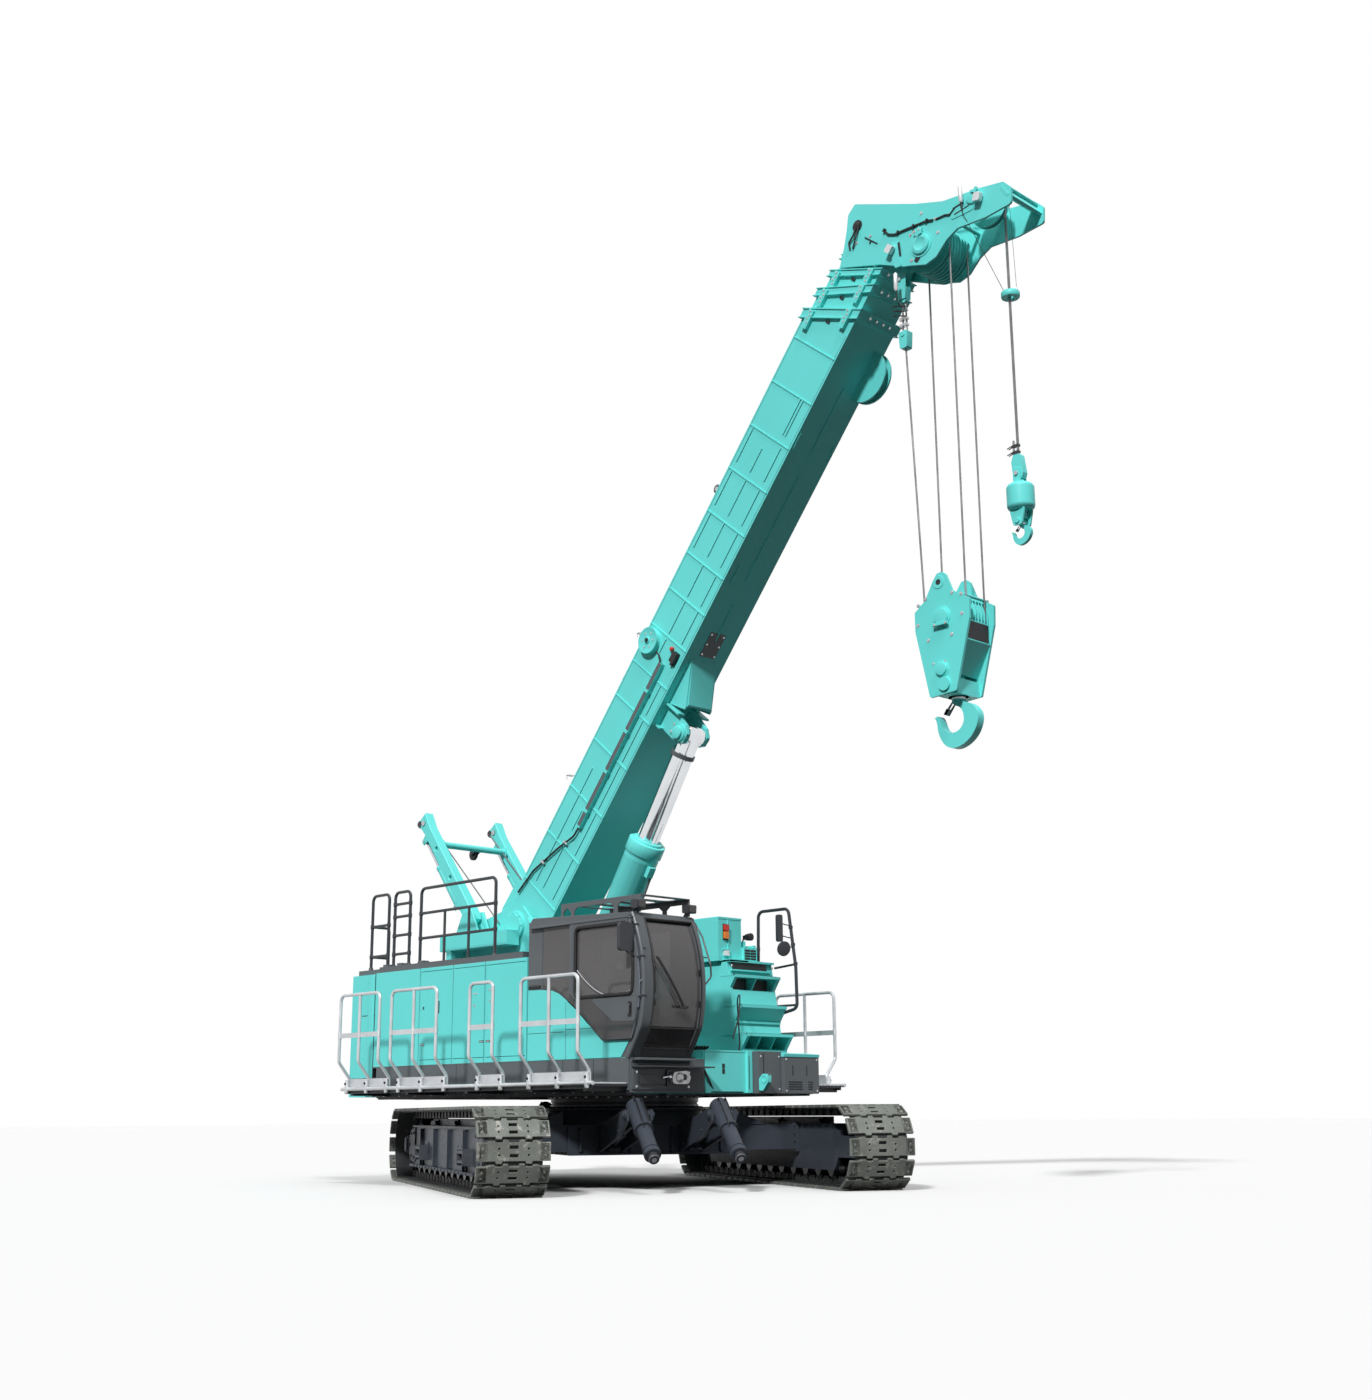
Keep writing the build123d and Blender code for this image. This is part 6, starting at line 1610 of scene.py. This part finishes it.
luff_foot, luff_eye = (-1.1, 1.8), (3.5, -0.8)
eye_x, eye_z = on_upper(*luff_eye)
luff_angle = atan2(eye_z - luff_foot[1], eye_x - luff_foot[0])
luff_long = hypot(eye_z - luff_foot[1], eye_x - luff_foot[0])
LUFF = raised(luff_foot, luff_angle)
barrel = Weldment(LUFF, boom_teal)
barrel.turned((2.6, 0, 0), along_x, ((0, 0.2265), (0.02, 0.2275), (0.04, 0.2265)), 48)
barrel.box((0.42, 0.6), (-0.06, 0.06), (-0.29, -0.21))
barrel.box((2.46, 2.6), (-0.05, 0.05), (-0.28, -0.21))
barrel.coat = dark_paint
barrel.tube(((0.52, 0.03, -0.27), (0.75, 0.03, -0.275), (2.3, 0.03, -0.275), (2.5, 0.03, -0.26)), 0.016,
            0.05, 10)
for a in (0.9, 1.5, 2.1):
    barrel.box(about(a, 0.02), (0, 0.06), (-0.295, -0.222))
barrel.fit("barrel_fittings", "luff_barrel", "teal_paint", 0.002)
rod = Weldment(LUFF, dark_paint)
rod.turned((luff_long - 0.3, 0, 0), along_x, ((0, 0.1405), (0, 0.158), (0.055, 0.158), (0.055, 0.1405)),
           48, True)
rod.coat = boom_teal
for side in (-1, 1):
    rod.turned((luff_long, side * 0.13, 0), (0, side, 0),
               ((0, 0.105), (0.014, 0.105), (0.014, 0.07), (0.01, 0.06)), 32)
rod.fit("rod_fittings", "luff_rod", "dark_paint", 0.001)
# pin, keeper bolts and grease pipe of the cylinder's upper bracket, on the boom
bracket = Weldment(BOOM, boom_teal)
for side in (-1, 1):
    bracket.coat = boom_teal
    bracket.turned((luff_eye[0], side * 0.2, luff_eye[1]), (0, side, 0),
                   ((0, 0.12), (0.012, 0.12), (0.012, 0.085), (0.06, 0.08), (0.066, 0.06)), 32)
    bracket.box((3.43, 3.57), (side * 0.212, side * 0.226), (-0.7, -0.66))
    bracket.coat = bolt_zinc
    for a in (3.45, 3.55):
        bracket.bolt((a, side * 0.226, -0.68), (0, side, 0), 0.01)
bracket.fit("bracket_fittings", "boom", "teal_paint", 0.001)

# --- Falls ---
# Four falls of wire rope between the head and the hook block. The first is dead-ended at
# the head in a wedge socket on link plates, with a clipped tail beside it.
head_x, head_z = on_upper(*head_pin)
block_z = 6.06
fall = head_wrap + 0.0003
socket_x, socket_low = head_x - 0.4, 9.37
falls = Weldment(UPPER, wire_rope)
for x, y in ((fall, -rope_y), (-fall, rope_y), (fall, rope_y)):
    falls.tube([(head_x + x, y, block_z + (head_z - block_z) * k / 8) for k in range(9)], rope_r, 0, 10)
falls.tube(((head_x - fall, -rope_y, block_z), (head_x - fall - 0.012, -rope_y, block_z + 0.4),
            (socket_x, -rope_y, socket_low)), rope_r, 0, 10)
for y in (-rope_y, rope_y):
    falls.tube([(head_x + fall * cos(radians(a)), y, block_z + fall * sin(radians(a)))
                for a in range(180, 361, 12)], rope_r, 0, 10)
# link plates, wedge socket, doubled rope and the lower socket
falls.coat = boom_teal
lug_z = 10.3
for y in (-0.215, -0.125):
    falls.prism(((socket_x - 0.045, 9.97), (socket_x + 0.055, 9.97), (socket_x + 0.075, lug_z),
                 (socket_x - 0.045, lug_z)), (y, y + 0.01))
falls.prism(eased(((socket_x - 0.055, 9.93), (socket_x + 0.045, 9.93), (socket_x + 0.07, 10.12),
                   (socket_x - 0.06, 10.12)), 0.02), (-0.2, -0.135))
falls.prism(eased(taper(socket_x, (9.36, 0.05), (9.57, 0.065)), 0.02), (-0.215, -0.115))
falls.pin((socket_x, -0.225, 9.53), along_y, 0.026, 0.12)
falls.coat = wire_rope
for x in (-0.022, 0.022):
    falls.tube(((socket_x + x, -rope_y, 9.93), (socket_x + x * 1.3, -rope_y, 9.57)), rope_r, 0, 8)
falls.coat = bolt_zinc
falls.pin((socket_x - 0.01, -0.235, 10.22), along_y, 0.02, 0.14, 14)
for z in (9.66, 9.74):
    falls.box((socket_x - 0.06, socket_x + 0.04), (-0.195, -0.135), about(z, 0.014))
    falls.bolt((socket_x - 0.06, -rope_y, z), (-1, 0, 0), 0.012)
# switch cylinder, its wire and the clip weight round the dead-ended fall
falls.coat = switch_white
falls.turned((5.02, -0.375, 10.22), (0, 0, -1), ((0, 0.016), (0.02, 0.026), (0.2, 0.026), (0.22, 0.014)),
             16)
falls.coat = hose_rubber
falls.tube(((5.02, -0.375, 10.02), (5.02, -0.36, 9.9), (4.99, -0.28, 9.86)), 0.005, 0, 6)
for z in (9.86, 9.8, 9.74):
    falls.tube(((4.9, -0.3, z + 0.01), (4.95, -0.2, z + 0.03), (5.03, -0.2, z), (5, -0.29, z - 0.02)),
               0.008, 0.03, 6)
falls.fit("rope_falls", "main_block", "wire_rope", 0, ("main_falls",))

# --- Hook block ---
# Four-sheave hook block: two thick cheeks on the sheaves' pin, tapered guard plates between
# them, a trunnion with the swivelling hook and its spring latch.
dress("hook_block", boom_teal, 0.005)
dress("block_sheaves", boom_teal, 0.003)
dress("main_hook", boom_teal, 0.012)
body_dark = coat_of("body_dark", (0.018, 0.095, 0.098), 0.4, 0, 0.1, 0.02, 1, 150)
block = Weldment(UPPER @ Matrix.Translation((head_x, 0, block_z)), boom_teal)
cheek_face = 0.237
bolts = ((-0.211, 0.245), (-0.318, 0.19), (0.145, 0.245), (0.265, 0.205), (0.265, -0.016),
         (-0.331, -0.032), (-0.196, -0.227), (0.12, -0.221))
for side in (-1, 1):
    y, out = side * cheek_face, (0, side, 0)
    block.coat = boom_teal
    block.turned((0, y, 0), out,
                 ((0, 0.115), (0.01, 0.112), (0.01, 0.094), (0.034, 0.088), (0.038, 0.06)), 36)
    block.turned((-0.03, y, -0.58), out,
                 ((0, 0.092), (0.008, 0.09), (0.008, 0.074), (0.03, 0.07), (0.034, 0.045)), 32)
    block.box((-0.1, 0.1), (y + side * 0.03, y + side * 0.046), (-0.105, -0.07))
    block.turned((-0.03, y, 0.4), out, ((0, 0.075), (0.006, 0.073), (0.006, 0.034)), 28)
    block.coat = seam_and_shade_black
    block.turned((-0.03, y, 0.4), out, ((0.002, 0.034), (0.007, 0.033)), 24)
    block.box((-0.095, 0.095), (y + side * 0.044, y + side * 0.0475), (-0.108, -0.1))
    block.coat = bolt_zinc
    for x, z in bolts:
        block.bolt((x, y, z), out, 0.013)
    for x in (-0.075, 0.075):
        block.bolt((x, y + side * 0.046, -0.087), out, 0.009)
    for x in (-0.1, 0.04):
        block.bolt((-0.03 + 1.1 * x, y, -0.5), out, 0.009)
# guard box across the front and the back, sheave spacers and bolts' sleeves
for end in (-1, 1):
    block.coat = boom_teal
    block.prism(((end * 0.285, -0.07), (end * 0.3, -0.07), (end * 0.295, -0.3), (end * 0.28, -0.3)),
                (-0.203, 0.203))
    block.coat = seam_and_shade_black
    block.prism(((end * 0.3, -0.085), (end * 0.302, -0.085), (end * 0.297, -0.285),
                 (end * 0.295, -0.285)), (-0.185, 0.185))
block.coat = boom_teal
for x, z in bolts:
    block.pin((x, -0.205, z), along_y, 0.016, 0.41, 12)
block.turned((0, 0, -0.86), up, ((0, 0.115), (0.05, 0.125), (0.06, 0.125), (0.17, 0.11)), 32)
block.turned((0, 0, -0.69), up, ((0, 0.085), (0.1, 0.085), (0.11, 0.07)), 6)
block.fit("block_fittings", "main_block", "teal_paint", 0.0015)


def hook_latch(name, body, at, scale, plates, ease, collar, sides, edge):
    """A sprung latch of two plates across a hook's mouth, and the collar on its shank."""
    latch = Weldment(UPPER @ Matrix.Translation(at), body_dark)
    arm = ((-0.035, 0.235), (-0.005, 0.25), (-0.155, 0.06), (-0.19, 0.075))
    outline = [(scale * x, scale * z) for x, z in arm]
    half, inner = plates
    for y in (-half, inner):
        latch.prism(eased(outline, ease), (y, y + half - inner))
    bridge = ((-0.19, 0.075), (-0.155, 0.06), (-0.115, 0.12), (-0.15, 0.135))
    latch.prism([(scale * x, scale * z) for x, z in bridge], (-half, half))
    latch.coat = bolt_zinc
    if scale == 1:
        latch.pin((-0.02, -0.04, 0.235), along_y, 0.014, 0.08, 12)
    level, bore, rim, thick, bevel = collar
    latch.turned((0, 0, level), up, ((0, bore), (0, rim), (thick, rim), (thick, bevel)), sides, True)
    latch.fit(name, body, "teal_paint", edge)


hook_z = 4.96
hook_latch("hook_latch", "main_hook", (head_x, 0, hook_z), 1, (0.032, 0.026), 0.01,
           (0.212, 0.06, 0.078, 0.022, 0.064), 32, 0.001)

# --- Auxiliary line ---
# The single line over the tip: a wedge socket with a clipped tail, a cast overhaul ball,
# its fork and swivel hook, and the ring weight of the limit switch on two thin wires.
dress("aux_rope", wire_rope, 0)
dress("ball", boom_teal, 0.006)
dress("ball_hook", boom_teal, 0.006)
line_x = on_upper(*tip_pin)[0] + tip_radius + 0.0003
ball_z = 7.24
aux = Weldment(UPPER @ Matrix.Translation((line_x, 0, ball_z)), boom_teal)
aux.prism(eased(((-0.05, 0.2), (0.055, 0.2), (0.075, 0.26), (0.045, 0.48), (-0.045, 0.48), (-0.07, 0.4)),
                0.02), (-0.043, 0.043))
for y in (-0.058, 0.046):
    aux.prism(eased(taper(0, (0.12, 0.045), (0.32, 0.05)), 0.03), (y, y + 0.012))
aux.turned((0, 0, 0.14), up, ((0, 0.075), (0.03, 0.055), (0.05, 0.045)), 24)
for y in (-0.085, 0.061):
    aux.prism(eased(taper(0, (-0.13, 0.1), (-0.33, 0.055)), 0.03), (y, y + 0.024))
aux.pin((0, -0.1, -0.28), along_y, 0.03, 0.2, 18)
aux.coat = bolt_zinc
aux.pin((0, -0.075, 0.26), along_y, 0.024, 0.15)
aux.coat = wire_rope
aux.tube(((-0.05, 0, 0.4), (-0.055, 0, 0.55), (-0.052, 0, 0.66)), 0.0125, 0, 10)
aux.coat = rail_black
for z in (0.515, 0.59):
    aux.box((-0.075, 0.018), (-0.022, 0.022), about(z, 0.01))
    for y in (-0.016, 0.016):
        aux.tube(((-0.13, y, z - 0.008), (-0.05, y, z + 0.014), (0.02, y, z + 0.014)), 0.0065, 0.01, 6)
# ring weight and its wires to the switch
ring_z = 2.36
aux.coat = boom_teal
aux.turned((0.012, 0, ring_z - 0.035), up,
           ((0, 0.04), (0, 0.098), (0.012, 0.104), (0.058, 0.104), (0.07, 0.098), (0.07, 0.04)), 40, True)
aux.coat = bolt_zinc
for x in (-0.075, 0.085):
    aux.turned((0.012 + x, 0, ring_z + 0.03), up, ((0, 0.012), (0.03, 0.012), (0.035, 0.006)), 10)
aux.coat = hose_rubber
aux.tube(((-0.063, 0, ring_z + 0.06), (5.98 - line_x, -0.375, 3.38)), 0.004, 0, 6)
aux.tube(((0.097, 0, ring_z + 0.06), (0.02, 0.06, 3.61)), 0.003, 0, 6)
aux.coat = switch_white
aux.turned((5.97 - line_x, -0.375, 3.69), (0.05, 0, -1),
           ((0, 0.016), (0.02, 0.025), (0.19, 0.025), (0.21, 0.014)), 16)
aux.coat = hose_rubber
aux.tube(((5.98 - line_x, -0.375, 3.49), (5.985 - line_x, -0.375, 3.38)), 0.008, 0, 6)
aux.fit("ball_fittings", "aux_line", "teal_paint", 0.0015)
small = 0.42
hook_latch("ball_hook_latch", "ball_hook", (line_x, 0, ball_z - 0.4), small, (0.016, 0.013), 0.004,
           (0.215 * small, 0.026, 0.036, 0.012, 0.027), 24, 0.0008)

# --- Studio ---
# A pale floor under a broad key lamp from the right and a weak fill, in a white surround.
# The floor gives little light back, so the undersides stay as dark as outdoors.
def see_through(nodes, links):
    """1 for rays that show the background: straight, mirrored or through glass."""
    path = nodes.new("ShaderNodeLightPath")
    total = path.outputs["Is Camera Ray"]
    for name in ("Is Glossy Ray", "Is Transmission Ray"):
        either = nodes.new("ShaderNodeMath")
        either.operation = "MAXIMUM"
        links.new(total, either.inputs[0])
        links.new(path.outputs[name], either.inputs[1])
        total = either.outputs[0]
    return total


floor_half = 150
floor_mesh = bpy.data.meshes.new("floor")
floor_span = (-floor_half, floor_half)
floor_mesh.from_pydata([(x, y, 0) for x, y in rectangle(floor_span, floor_span)], [], [(0, 1, 2, 3)])
floor = placed("floor", floor_mesh)
floor_finish = bpy.data.materials.new("floor")
floor_finish.use_nodes = True
nodes, links = floor_finish.node_tree.nodes, floor_finish.node_tree.links
shade = nodes.new("ShaderNodeMix")
shade.data_type = "RGBA"
set_inputs(shade, A=(0.05, 0.05, 0.05, 1), B=(0.74, 0.74, 0.74, 1))
links.new(see_through(nodes, links), shade.inputs["Factor"])
links.new(shade.outputs["Result"], nodes["Principled BSDF"].inputs["Base Color"])
set_inputs(nodes["Principled BSDF"], Roughness=0.9, Specular_IOR_Level=0.1)
floor_mesh.materials.append(floor_finish)

world = bpy.data.worlds.new("surround")
bpy.context.scene.world = world
world.use_nodes = True
nodes, links = world.node_tree.nodes, world.node_tree.links
height = nodes.new("ShaderNodeSeparateXYZ")
links.new(nodes.new("ShaderNodeTexCoord").outputs["Generated"], height.inputs["Vector"])
sky = set_inputs(nodes.new("ShaderNodeMapRange"), From_Min=0.3, To_Min=0, To_Max=0.85)
links.new(height.outputs["Z"], sky.inputs["Value"])
strength = set_inputs(nodes.new("ShaderNodeMix"), B=1)
links.new(sky.outputs["Result"], strength.inputs["A"])
links.new(see_through(nodes, links), strength.inputs["Factor"])
set_inputs(nodes["Background"], Color=(1, 1, 1, 1))
links.new(strength.outputs["Result"], nodes["Background"].inputs["Strength"])

for name, energy, spread, shines in (("key", 2.9, 5, (-0.33, 0.725, -0.603)),
        ("fill", 1.1, 12, (-0.52, 0.18, -0.835))):
    lamp = placed(name, bpy.data.lights.new(name, "SUN"))
    lamp.data.energy, lamp.data.angle = energy, radians(spread)
    lamp.rotation_euler = Vector(shines).to_track_quat("-Z", "Y").to_euler()

camera = placed("camera", bpy.data.cameras.new("camera"))
look, above = Vector((-0.6961, 0.6785, 0.2348)).normalized(), Vector((0.1681, -0.1639, 0.9721))
across = look.cross(above).normalized()
above = across.cross(look).normalized()
roll = radians(-0.384)
right = across * cos(roll) + above * sin(roll)
above = above * cos(roll) - across * sin(roll)
camera.matrix_world = Matrix(((right.x, above.x, -look.x, 14.879), (right.y, above.y, -look.y, -14.694),
                              (right.z, above.z, -look.z, 0.837), (0, 0, 0, 1)))
camera.data.lens, camera.data.sensor_width = 44.08, 36
camera.data.clip_end = 500
bpy.context.scene.camera = camera
bpy.context.scene.view_settings.view_transform = "Standard"
